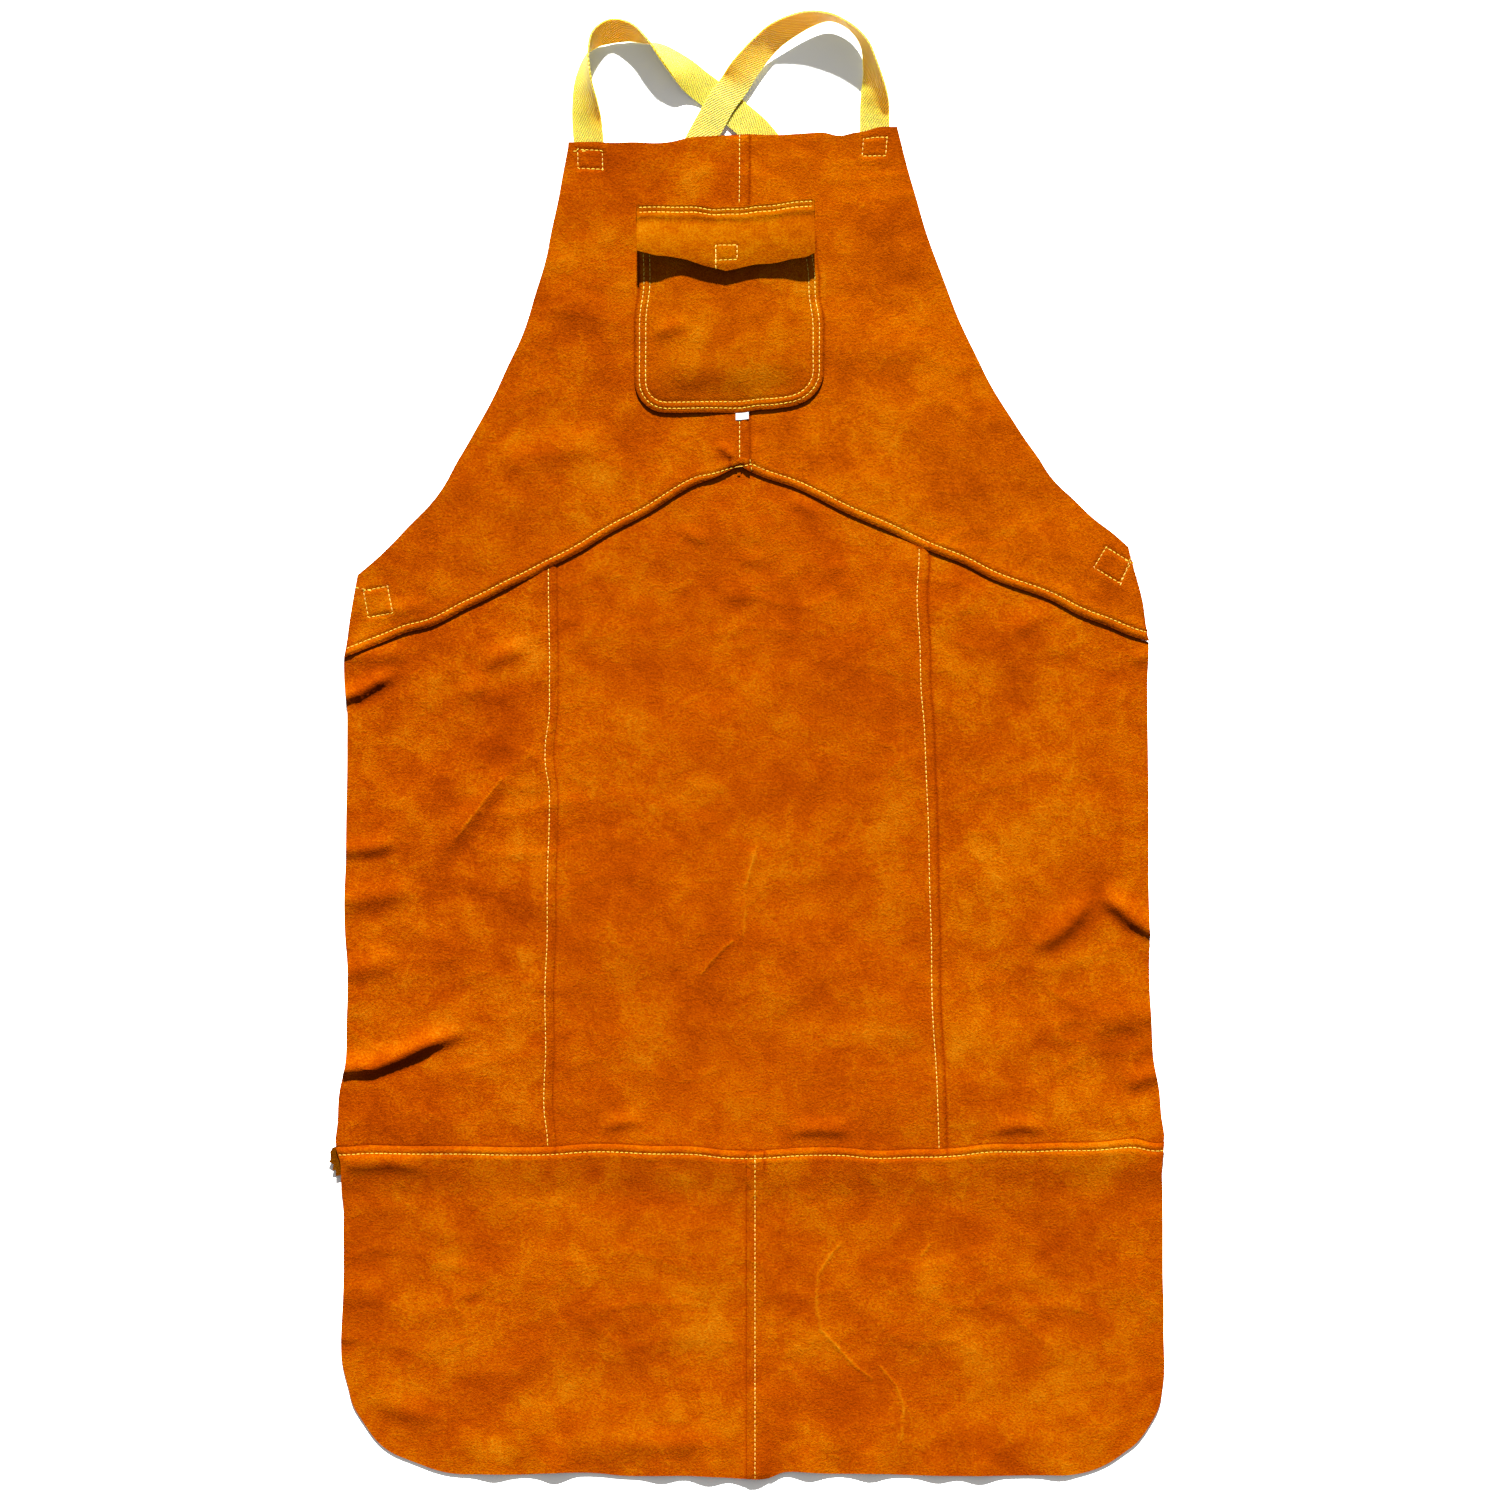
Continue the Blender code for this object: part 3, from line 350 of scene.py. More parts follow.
def outline_of(name):
    """The solid's outline from above, as one ordered ring."""
    points, faces = merged_top(name)
    edges = {}
    for ring in faces:
        for a, b in zip(ring, ring[1:] + ring[:1]):
            edges[(a, b)] = 1
    follow = {a: b for (a, b) in edges if (b, a) not in edges}
    start = next(iter(follow))
    ring, at = [start], follow[start]
    while at != start:
        ring.append(at)
        at = follow[at]
    return [points[i].xy for i in ring]


def surface_of(*names):
    """A search tree over the upper sides of solids."""
    points, faces = [], []
    for name in names:
        mesh = nodes[name].data
        offset = len(points)
        points += [v.co.copy() for v in mesh.vertices]
        faces += [[i + offset for i in f.vertices] for f in mesh.polygons]
    return BVHTree.FromPolygons(points, faces)


def height_on(tree, x, y, fallback=0.03):
    hit = tree.ray_cast(Vector((x, y, 1.0)), Vector((0, 0, -1)))[0]
    if hit is None:
        hit = tree.find_nearest(Vector((x, y, fallback)))[0]
    return hit.z


def without_straight(ring):
    """The ring less the points that lie on a straight stretch."""
    kept = []
    for i, point in enumerate(ring):
        before, after = ring[i - 1], ring[(i + 1) % len(ring)]
        turn = (point - before).normalized().cross((after - point).normalized())
        if abs(turn) > 0.0008:
            kept.append(point)
    return kept


def rounded(ring, step):
    """The ring at an even spacing: sharp corners stay, and shallow turns become curves."""
    ring = without_straight(ring)
    count = len(ring)
    sharp = []
    for i, point in enumerate(ring):
        before, after = point - ring[i - 1], ring[(i + 1) % count] - point
        if before.angle(after) > CORNER_TURN:
            sharp.append(i)
    result = []
    for start, end in zip(sharp, sharp[1:] + [sharp[0] + count]):
        stretch = [ring[i % count].copy() for i in range(start, end + 1)]
        for _ in range(3):
            cut = [stretch[0]]
            for a, b in zip(stretch, stretch[1:]):
                cut += [a.lerp(b, 0.25), a.lerp(b, 0.75)]
            stretch = cut + [stretch[-1]]
        result += even(stretch, step)[:-1]
    return result


def even(path, step):
    """Points at an even spacing along a path, with both its ends."""
    path = np.array([tuple(p) for p in path])
    lengths = np.linalg.norm(np.diff(path, axis=0), axis=1)
    marks = np.concatenate([[0], np.cumsum(lengths)])
    count = max(2, int(round(marks[-1] / step)) + 1)
    wanted = np.linspace(0, marks[-1], count)
    columns = [np.interp(wanted, marks, path[:, i]) for i in range(path.shape[1])]
    return [Vector(row) for row in np.stack(columns, 1)]


def thread_line(name):
    """The middle line of a row of thread, from the rings of points round its solid."""
    mesh = nodes[name].data
    spots = []
    for vertex in mesh.vertices:
        near = [s for s in spots if (s[0] - vertex.co).length < 0.0016]
        if near:
            near[0][1].append(vertex.co.copy())
        else:
            spots.append((vertex.co.copy(), [vertex.co.copy()]))
    middles = [sum(group, Vector()) / len(group) for _, group in spots]
    centre = sum(middles, Vector()) / len(middles)
    line = [max(middles, key=lambda p: (p - centre).length)]
    left = [p for p in middles if p is not line[0]]
    while left:
        nearest = min(left, key=lambda p: (p - line[-1]).length)
        line.append(nearest)
        left.remove(nearest)
    return [p.xy for p in line]


# ---------------------------------------------------------------- leather
def inside(points, ring):
    """Which points lie inside the ring."""
    ring = np.array([tuple(p) for p in ring])
    after = np.roll(ring, -1, axis=0)
    hits = np.zeros(len(points), int)
    for (ax, ay), (bx, by) in zip(ring, after):
        spans = (ay > points[:, 1]) != (by > points[:, 1])
        with np.errstate(divide="ignore", invalid="ignore"):
            x = ax + (points[:, 1] - ay) * (bx - ax) / (by - ay)
        hits += spans & (points[:, 0] < x)
    return hits % 2 == 1


def offset_lines(row):
    """Points on and beside a row of stitches, close enough to carry its groove."""
    path = even(row, ROW_STEP)
    found = []
    for i, point in enumerate(path):
        ahead = (path[min(i + 1, len(path) - 1)] - path[max(i - 1, 0)]).normalized()
        normal = Vector((-ahead.y, ahead.x))
        found += [point + normal * offset for offset in GROOVE_OFFSETS]
    return found


def filled(ring, rows, cell):
    """A triangle mesh over the ring, finer along its rows of stitches."""
    taken = list(ring)
    if rows:
        extra = [p for row in rows for p in offset_lines(row)]
        keep = inside(np.array([tuple(p) for p in extra]), ring)
        tree = kdtree.KDTree(len(ring))
        for i, point in enumerate(ring):
            tree.insert((point.x, point.y, 0), i)
        tree.balance()
        for point, is_in in zip(extra, keep):
            if is_in and tree.find((point.x, point.y, 0))[2] > CLEAR_OF_EDGE:
                taken.append(point)
    tree = kdtree.KDTree(len(taken))
    for i, point in enumerate(taken):
        tree.insert((point.x, point.y, 0), i)
    tree.balance()
    xs = [p.x for p in ring]
    ys = [p.y for p in ring]
    grid = []
    for j in range(int((max(ys) - min(ys)) / (cell * ROW_RISE)) + 1):
        for i in range(int((max(xs) - min(xs)) / cell) + 1):
            grid.append((min(xs) + (i + 0.5 * (j % 2)) * cell, min(ys) + j * cell * ROW_RISE))
    grid = np.array(grid)
    for x, y in grid[inside(grid, ring)]:
        if tree.find((x, y, 0))[2] > CLEAR_OF_POINTS * cell:
            taken.append(Vector((x, y)))
    edges = [(i, (i + 1) % len(ring)) for i in range(len(ring))]
    found = delaunay_2d_cdt(taken, edges, [], 1, 1e-7)
    return np.array([tuple(v) for v in found[0]]), found[2]


def eased_heights(points, faces, heights, rounds):
    """Heights averaged with their neighbours' a few times, so that a lap has no hard step."""
    pairs = np.array([(f[i], f[i - 1]) for f in faces for i in range(3)])
    for _ in range(rounds):
        total = np.zeros(len(points))
        count = np.zeros(len(points))
        np.add.at(total, pairs[:, 0], heights[pairs[:, 1]])
        np.add.at(total, pairs[:, 1], heights[pairs[:, 0]])
        np.add.at(count, pairs[:, 0], 1)
        np.add.at(count, pairs[:, 1], 1)
        heights = (1 - EASE_SHARE) * heights + EASE_SHARE * total / count
    return heights


def seam_profile(points, rows):
    """The groove that thread pulls into leather, and the puffed strip on each side of it."""
    height = np.zeros(len(points))
    for row in rows:
        distance = np.abs(along(points, [tuple(p) for p in row])[0])
        height -= GROOVE_DEPTH * np.exp(-((distance / GROOVE_WIDTH) ** 2))
        height += PUFF_HEIGHT * np.exp(-(((distance - PUFF_OFFSET) / PUFF_WIDTH) ** 2))
    return height


def turned_edges(ring, rows):
    """The stretches of a ring that run beside its stitches, where the leather is turned under."""
    fine = even(list(ring) + [ring[0]], 0.0018)[:-1]
    spots = np.array([tuple(p) for p in fine])
    gaps = [np.abs(along(spots, [tuple(p) for p in row])[0]) for row in rows]
    beside = np.min(gaps, axis=0) < TURNED_WITHIN
    stretches, current = [], []
    first = int(np.argmin(beside))
    for i in range(first, first + len(fine)):
        if beside[i % len(fine)]:
            current.append(fine[i % len(fine)])
        elif current:
            stretches.append(current)
            current = []
    return [s for s in stretches + [current] if len(s) > 8]


def gap_to(points, paths):
    """Each point's distance from the nearest of some close-set paths."""
    tree = kdtree.KDTree(sum(len(path) for path in paths))
    for i, point in enumerate(p for path in paths for p in path):
        tree.insert((point.x, point.y, 0), i)
    tree.balance()
    return np.array([tree.find((x, y, 0))[2] for x, y in points])


def crease_shade_and_dirt(points):
    """How far the leather is darkened: painted shade in the foot of each crease, and real dirt in the
    rubbed or dirtied places.
    """
    shade = np.zeros(len(points))
    for path, size, behind, ahead in CREASES_MM:
        signed, share = along(points * 1000, path)
        if path[0][0] > path[-1][0]:
            signed = -signed
        ends = np.clip(np.minimum(share, 1 - share) / CREASE_TAPER, 0.25, 1)
        # Painted shade: the foot of each crease, on its side away from the light, is darkened.
        foot = np.exp(-(((signed + ahead) / (0.9 * ahead + 2)) ** 2))
        shade += 0.75 * size / ahead * ends * foot
    for x, y, radius, amount in SMUDGES_MM:
        squared = (points[:, 0] * 1000 - x) ** 2 + (points[:, 1] * 1000 - y) ** 2
        shade += amount * np.exp(-squared / radius**2)
    return shade


def laid(
    name, ring, tree, rows=(), turned=(), rounds=8, thickness=LEATHER, cell=CELL, finish=None,
    table=SWAY, under=False, scars=(),
):
    """A sheet cut to a ring, laid on the heights of its solid, and given its thickness.

    A panel that other panels' turned edges lie on is under them, and is given painted shade beside them.
    """
    beside = [path for path in (all_turned if under else turned) if near_ring(path, ring)]
    points, faces = filled(ring, list(rows) + beside + list(scars), cell)
    heights = np.array([height_on(tree, x, y) for x, y in points])
    heights = eased_heights(points, faces, heights, rounds)
    heights += seam_profile(points, rows)
    contact = np.zeros(len(points))
    if turned:
        heights -= TURNED_DROP * np.exp(-((gap_to(points, turned) / TURNED_REACH) ** 2))
    if beside:
        # Painted shade: a dark line along the turned edges of the panels that lie over this one.
        contact = CONTACT_SHADE * np.exp(-((gap_to(points, beside) / CONTACT_REACH) ** 2))
    for row in scars:
        distance = np.abs(along(points, [tuple(p) for p in row])[0])
        heights += SCAR_HEIGHT * np.exp(-((distance / SCAR_REACH) ** 2))
        contact -= SCAR_PALE * np.exp(-((distance / SCAR_REACH) ** 2))
    moved = points + sway(points, table)
    heights += relief(moved)
    mesh = bpy.data.meshes.new(name)
    mesh.from_pydata([(x, y, z) for (x, y), z in zip(moved, heights)], [], [list(f) for f in faces])
    # The shade attribute holds painted shade at crease feet and beside turned edges, real dirt at rubbed
    # places, and paler scars.
    shade = mesh.attributes.new("shade", "FLOAT", "POINT")
    shade.data.foreach_set("value", (crease_shade_and_dirt(moved) + contact).astype(np.float32))
    uv = mesh.uv_layers.new(name="pattern")
    for loop in mesh.loops:
        uv.data[loop.index].uv = points[loop.vertex_index]
    obj = bpy.data.objects.new(name, mesh)
    bpy.context.scene.collection.objects.link(obj)
    builder = bmesh.new()
    builder.from_mesh(mesh)
    for face in builder.faces:
        if face.normal.z < 0:
            face.normal_flip()
    builder.to_mesh(mesh)
    builder.free()
    solid = obj.modifiers.new("thickness", "SOLIDIFY")
    solid.thickness = thickness
    solid.offset = -1
    if finish:
        mesh.materials.append(finish)
    return plain(obj)


def plain(obj):
    """The object with its modifiers applied, smooth but for its sharp rims."""
    bpy.context.view_layer.update()
    evaluated = obj.evaluated_get(bpy.context.evaluated_depsgraph_get())
    mesh = bpy.data.meshes.new_from_object(evaluated)
    obj.modifiers.clear()
    old = obj.data
    obj.data = mesh
    mesh.name = obj.name
    bpy.data.meshes.remove(old)
    mesh.shade_smooth()
    mesh.set_sharp_from_angle(angle=SHARP_RIM)
    return obj


def near_ring(path, ring):
    """Whether any of a path lies within the ring's own box."""
    low = (min(p.x for p in ring), min(p.y for p in ring))
    high = (max(p.x for p in ring), max(p.y for p in ring))
    return any(low[0] < p.x < high[0] and low[1] < p.y < high[1] for p in path)


def mm_row(*points):
    """Points given in mm, in metres."""
    return [Vector((x / 1000, y / 1000)) for x, y in points]


# ---------------------------------------------------------------- material helpers
NOISE = "ShaderNodeTexNoise"
WAVE = "ShaderNodeTexWave"
MATHS = "ShaderNodeMath"
MAPPING = "ShaderNodeMapping"
RAMP = "ShaderNodeValToRGB"
BUMP = "ShaderNodeBump"


def linear(code):
    """A hex sRGB colour as linear RGBA."""
    channels = [int(code[i : i + 2], 16) / 255 for i in (1, 3, 5)]
    return [c / 12.92 if c <= 0.04045 else ((c + 0.055) / 1.055) ** 2.4 for c in channels] + [1]


def add(tree, kind, inputs=None, stops=(), **settings):
    """One node with its settings, its inputs and links, and the stops of a colour ramp.

    A node given as an input stands for its first output.
    """
    node = tree.nodes.new(kind)
    for key, value in settings.items():
        setattr(node, key, value)
    for key, value in (inputs or {}).items():
        if isinstance(value, bpy.types.Node):
            value = value.outputs[0]
        if isinstance(value, bpy.types.NodeSocket):
            tree.links.new(value, node.inputs[key])
        else:
            node.inputs[key].default_value = value
    while stops and len(node.color_ramp.elements) < len(stops):
        node.color_ramp.elements.new(0.5)
    for i, (position, code) in enumerate(stops):
        node.color_ramp.elements[i].position = position
        node.color_ramp.elements[i].color = linear(code)
    return node


def begun(name):
    """A new material, its node tree and its shader."""
    material = bpy.data.materials.new(name)
    material.use_nodes = True
    return material, material.node_tree, material.node_tree.nodes["Principled BSDF"]


def finished(tree, shader, colour, bump, **values):
    """Links a colour and a bump to the shader and sets its plain inputs."""
    tree.links.new(colour.outputs["Color"], shader.inputs["Base Color"])
    tree.links.new(bump.outputs[0], shader.inputs["Normal"])
    for key, value in values.items():
        shader.inputs[key.replace("_", " ")].default_value = value


def suede(name, dark, middle, light):
    """Split cowhide, chrome tanned, drum dyed and left napped. The eye sees cloudy dye, a short
    nap that catches light in flecks, and no gloss. Dye clouds are about 77 mm across, blotches
    22 mm, flecks 1.8 mm (as fine as shows at the size of the whole) and nap 0.7 mm."""
    material, tree, shader = begun(name)
    place = add(tree, "ShaderNodeTexCoord").outputs["Object"]
    cloud = add(
        tree,
        NOISE,
        {"Vector": place, "Scale": 13.0, "Detail": 3.0, "Roughness": 0.55, "Distortion": 0.4},
    )
    patch = add(
        tree,
        NOISE,
        {"Vector": place, "Scale": 46.0, "Detail": 6.0, "Roughness": 0.68, "Distortion": 0.5},
    )
    fleck = add(tree, NOISE, {"Vector": place, "Scale": 560.0, "Detail": 2.0, "Roughness": 0.65})
    # Nap brushed one way: flecks drawn out to 2 by 5 mm.
    drawn = add(
        tree, MAPPING, {"Vector": place, "Scale": (520.0, 190.0, 400.0), "Rotation": (0, 0, 0.5)}
    )
    brushed = add(tree, NOISE, {"Vector": drawn, "Scale": 1.0, "Detail": 2.0})
    tone = add(tree, MATHS, {0: cloud, 1: 0.42}, operation="MULTIPLY")
    for source, share in ((patch, 0.36), (fleck, 0.40), (brushed, 0.10)):
        tone = add(tree, MATHS, {0: source, 1: share, 2: tone}, operation="MULTIPLY_ADD")
    # The shade attribute darkens the colour, broken up by the blotches: painted shade at crease feet and
    # beside turned edges, real dirt at rubbed places, and paler scars.
    shade = add(tree, "ShaderNodeAttribute", attribute_name="shade").outputs["Fac"]
    broken = add(tree, MATHS, {0: patch, 1: shade}, operation="MULTIPLY")
    tone = add(tree, MATHS, {0: broken, 1: -0.42, 2: tone}, operation="MULTIPLY_ADD")
    colour = add(
        tree,
        RAMP,
        {"Fac": tone},
        ((0.34, dark[0]), (0.54, dark[1]), (0.63, middle), (0.72, light[0]), (0.90, light[1])),
    )
    nap = add(tree, NOISE, {"Vector": place, "Scale": 1500.0, "Detail": 3.0, "Roughness": 0.7})
    height = add(tree, MATHS, {0: fleck, 1: 1.2, 2: nap}, operation="MULTIPLY_ADD")
    height = add(tree, MATHS, {0: patch, 1: 2.0, 2: height}, operation="MULTIPLY_ADD")
    bump = add(tree, BUMP, {"Height": height, "Strength": 0.8, "Distance": 0.0008})
    finished(
        tree, shader, colour, bump, Roughness=0.95, Specular_IOR_Level=0.0, Sheen_Weight=0.02,
        Sheen_Roughness=0.6, Sheen_Tint=linear("#F07800"),
    )
    return material


def webbing(name):
    """Polyester webbing, woven in a 1.8 mm diagonal twill and dyed golden yellow: ribs with a
    dark line between them, and a soft plastic lustre. Sun on the far side glows through the
    1.6 mm of open weave. UV is in metres."""
    material, tree, shader = begun(name)
    place = add(tree, "ShaderNodeTexCoord").outputs["UV"]
    turned = add(tree, MAPPING, {"Vector": place, "Rotation": (0, 0, math.radians(32))})
    # A band every 1.8 mm: the wave node repeats every 0.314 units at scale 1.
    twill = add(
        tree,
        WAVE,
        {"Vector": turned, "Scale": 170.0, "Distortion": 0.5, "Detail": 1.0},
        bands_direction="X",
    )
    pick = add(
        tree, WAVE, {"Vector": place, "Scale": 330.0, "Distortion": 0.2}, bands_direction="Y"
    )
    cloud = add(tree, NOISE, {"Vector": place, "Scale": 60.0, "Detail": 3.0})
    ribs = twill.outputs[1]
    picks = pick.outputs[1]
    tone = add(tree, MATHS, {0: ribs, 1: 0.5, 2: 0.12}, operation="MULTIPLY_ADD")
    tone = add(tree, MATHS, {0: picks, 1: 0.12, 2: tone}, operation="MULTIPLY_ADD")
    tone = add(tree, MATHS, {0: cloud, 1: 0.30, 2: tone}, operation="MULTIPLY_ADD")
    colour = add(
        tree,
        RAMP,
        {"Fac": tone},
        ((0.05, "#766105"), (0.42, "#8A7B0E"), (0.66, "#9C911A"), (0.95, "#AAA326")),
    )
    height = add(tree, MATHS, {0: picks, 1: 0.3, 2: ribs}, operation="MULTIPLY_ADD")
    bump = add(tree, BUMP, {"Height": height, "Strength": 0.8, "Distance": 0.0004})
    finished(
        tree, shader, colour, bump, Roughness=0.62, Subsurface_Weight=1.0,
        Subsurface_Radius=(1.0, 0.7, 0.12), Subsurface_Scale=0.0070,
    )
    return material


def thread(name):
    """Three-ply bonded polyester sewing thread, pale straw: short bright stitches, each a little
    lighter or darker than the next, with the 0.4 mm twist of its plies."""
    material, tree, shader = begun(name)
    place = add(tree, "ShaderNodeTexCoord").outputs["Object"]
    cloud = add(tree, NOISE, {"Vector": place, "Scale": 210.0, "Detail": 2.0})
    twist = add(tree, NOISE, {"Vector": place, "Scale": 2600.0, "Detail": 1.0})
    tone = add(tree, MATHS, {0: twist, 1: 0.35, 2: cloud}, operation="MULTIPLY_ADD")
    colour = add(
        tree, RAMP, {"Fac": tone}, ((0.42, "#8E5E05"), (0.62, "#A37E10"), (0.85, "#A99020"))
    )
    bump = add(tree, BUMP, {"Height": twist, "Strength": 0.5, "Distance": 0.0001})
    finished(tree, shader, colour, bump, Roughness=0.55)
    return material


def closure_tape(name, base, tip, scale):
    """Nylon hook-and-loop tape, dyed to the leather: rows of hooks or a felt of loops about
    1.2 mm apart, drawn in the bump because they are too small to show as pieces."""
    material, tree, shader = begun(name)
    place = add(tree, "ShaderNodeTexCoord").outputs["Object"]
    pile = add(
        tree, "ShaderNodeTexVoronoi", {"Vector": place, "Scale": scale, "Randomness": 0.35}
    ).outputs["Distance"]
    colour = add(tree, RAMP, {"Fac": pile}, ((0.05, tip), (0.55, base)))
    bump = add(tree, BUMP, {"Height": pile, "Strength": 0.9, "Distance": 0.0005}, invert=True)
    finished(tree, shader, colour, bump, Roughness=0.7)
    return material


def satin(name):
    """Woven satin label, optic white and blank: 0.45 mm ribs and a soft sheen."""
    material, tree, shader = begun(name)
    place = add(tree, "ShaderNodeTexCoord").outputs["Object"]
    rib = add(
        tree, WAVE, {"Vector": place, "Scale": 700.0, "Distortion": 0.3}, bands_direction="Y"
    ).outputs[1]
    colour = add(tree, RAMP, {"Fac": rib}, ((0.2, "#8B8986"), (0.7, "#A5A5A3")))
    bump = add(tree, BUMP, {"Height": rib, "Strength": 0.4, "Distance": 0.0001})
    finished(tree, shader, colour, bump, Roughness=0.5)
    return material


HIDE_BIB = suede("split_cowhide_bib", ("#4C1600", "#652400"), "#712D00", ("#7A3B00", "#865106"))
HIDE_BIB_RIGHT = suede(
    "split_cowhide_bib_right", ("#4F1700", "#672700"), "#743000", ("#7D3D00", "#885307")
)
HIDE_CENTRE = suede("split_cowhide_centre", ("#4F1700", "#662400"), "#712C00", ("#793900", "#854E06"))
HIDE_LEFT = suede("split_cowhide_left_side", ("#491300", "#622100"), "#6F2A00", ("#7A3900", "#865008"))
HIDE_RIGHT = suede("split_cowhide_right_side", ("#4D1700", "#662400"), "#712D00", ("#7B3C00", "#885307"))
HIDE_HEM = suede("split_cowhide_hem", ("#4F1700", "#672400"), "#712D00", ("#7A3B00", "#855006"))
HIDE_TRIM = suede("split_cowhide_pocket", ("#4C1700", "#662700"), "#723000", ("#7B3E00", "#865309"))
HIDE_FLAP = suede("split_cowhide_flap", ("#411400", "#582300"), "#632B00", ("#6B3800", "#754B07"))
HIDE_CUT_END = suede("split_cowhide_cut_end", ("#2C0E00", "#3D1A00"), "#452000", ("#4A2B00", "#523B16"))
WEB = webbing("polyester_twill_webbing")
THREAD = thread("bonded_polyester_thread")
LOOP_TAPE = closure_tape("loop_tape_nylon", "#381402", "#5F2B09", 800.0)
HOOK_TAPE = closure_tape("hook_tape_nylon", "#2E0F01", "#512206", 620.0)
LABEL_SATIN = satin("woven_satin_label")

# ---------------------------------------------------------------- rows of stitches
line = {name: thread_line(name) for name in nodes if "_stitch" in name}


def joined(first, second):
    """Two rows of one seam as one row, from left to right."""
    return sorted(line[first] + line[second], key=lambda p: p.x)


waist_row = joined("waist_seam_stitch_left", "waist_seam_stitch_right")
hem_row = joined("hem_seam_stitch_left", "hem_seam_stitch_right")
bib_row = line["bib_centre_stitch_upper"] + line["bib_centre_stitch_lower"]
bib_row = sorted(bib_row, key=lambda p: -p.y)
boxes = [line[n] + line[n][:1] for n in line if n.startswith(("shoulder_stitch", "waist_stitch"))]
pocket_rows = [line["pocket_stitch_outer"], line["pocket_stitch_inner"]]
flap_rows = [line["flap_stitch_upper"], line["flap_stitch_lower"]]
closure_row = line["flap_patch_stitch"] + line["flap_patch_stitch"][:1]

# ---------------------------------------------------------------- panels
def trimmed(ring, row):
    """A skirt's outline, cut in at the side where it runs up under the bib."""
    spots = np.array([tuple(p) for p in ring])
    above = np.interp(spots[:, 0], [p.x for p in row], [p.y for p in row]) - UNDERLAP_BELOW
    result = []
    for point, level in zip(ring, above):
        outer = abs(point.x) > UNDERLAP_SIDE and point.y > level
        result.append(Vector((point.x - math.copysign(UNDERLAP_TRIM, point.x) * outer, point.y)))
    return result


PANELS = (
    ("bib_panel_left", HIDE_BIB, [waist_row, bib_row] + boxes),
    ("bib_panel_right", HIDE_BIB_RIGHT, [waist_row] + boxes),
    ("skirt_panel_left", HIDE_LEFT, [line["skirt_seam_stitch_left"]]),
    ("skirt_panel_centre", HIDE_CENTRE, [line["skirt_seam_stitch_right"]]),
    ("skirt_panel_right", HIDE_RIGHT, []),
    ("hem_panel_left", HIDE_HEM, [hem_row]),
    ("hem_panel_right", HIDE_HEM, [hem_row, line["hem_centre_stitch"]]),
    ("pocket_pouch", HIDE_TRIM, pocket_rows),
)
pieces, rings, turned = {}, {}, {}
for name, finish, rows in PANELS:
    rings[name] = rounded(outline_of(name), EDGE_STEP)
    if name.startswith("skirt"):
        rings[name] = trimmed(rings[name], waist_row)
    seams = [row for row in rows if row not in boxes]
    turned[name] = turned_edges(rings[name], seams) if seams else []
all_turned = [path for paths in turned.values() for path in paths]
for name, finish, rows in PANELS:
    ring = rings[name]
    piece = laid(
        name.replace("_panel", "") + "_hide",
        ring,
        surface_of(name),
        rows,
        turned[name],
        finish=finish,
        under=name != "pocket_pouch",
        scars=[mm_row(*path) for panel, path in SCARS_MM if panel == name],
    )
    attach(piece, "apron")
    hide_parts(name)
    pieces[name] = piece

# The hem's turned-under allowance sticks out raggedly at the left end of its seam.
cut_end_ring = mm_row(
    (-344, -284), (-352, -287), (-354, -291), (-353, -296), (-355, -299), (-351, -301), (-352, -306),
    (-349, -306), (-349, -311), (-344, -310),
)
cut_end = laid(
    "hem_allowance_end",
    cut_end_ring,
    surface_of("skirt_panel_left"),
    cell=SMALL_CELL,
    finish=HIDE_CUT_END,
    table=FLAP_SWAY,
)
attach(cut_end, "apron")

# ---------------------------------------------------------------- pocket flap
FOLD_STRIP = 0.006                        # the two solids of the flap meet inside this
fold = joints["flap_fold"]
fold_point = Vector(fold["pos_m"])
fold_line = Vector(fold["axis"]).normalized() * -1
fold_down = Vector((fold_line.y, -fold_line.x, 0))


def below_fold(point):
    """How far down the flap a point is from the fold."""
    return (Vector((point.x, point.y, 0)) - fold_point).dot(fold_down)


band = sorted(outline_of("pocket_flap_band"), key=lambda p: -below_fold(p))
band_top = sorted(band[-2:], key=lambda p: p.x)
free = outline_of("pocket_flap")
near_fold = [below_fold(p) < FOLD_STRIP for p in free]
start = next(i for i in range(len(free)) if near_fold[i - 1] and not near_fold[i])
free = [p for p in free[start:] + free[:start] if below_fold(p) >= FOLD_STRIP]
flap_ring = rounded([band_top[1], band_top[0]] + free, EDGE_STEP)
flap = laid(
    "pocket_flap_hide",
    flap_ring,
    surface_of("pocket_flap_band", "pocket_flap"),
    flap_rows + [closure_row],
    rounds=4,
    finish=HIDE_FLAP,
    cell=FLAP_CELL,
    table=FLAP_SWAY,
)
closure_outline = rounded(outline_of("pocket_loop_patch"), EDGE_STEP)
loop_patch = laid(
    "loop_tape_patch",
    closure_outline,
    surface_of("pocket_loop_patch"),
    thickness=TAPE,
    finish=LOOP_TAPE,
)
hook_patch = laid(
    "hook_tape_patch",
    closure_outline,
    surface_of("flap_hook_patch"),
    thickness=TAPE,
    finish=HOOK_TAPE,
    table=FLAP_SWAY,
)
tag_ring = rounded(outline_of("size_label"), EDGE_STEP)
tag = laid(
    "size_tag",
    tag_ring,
    surface_of("size_label"),
    thickness=LABEL,
    cell=SMALL_CELL,
    finish=LABEL_SATIN,
)

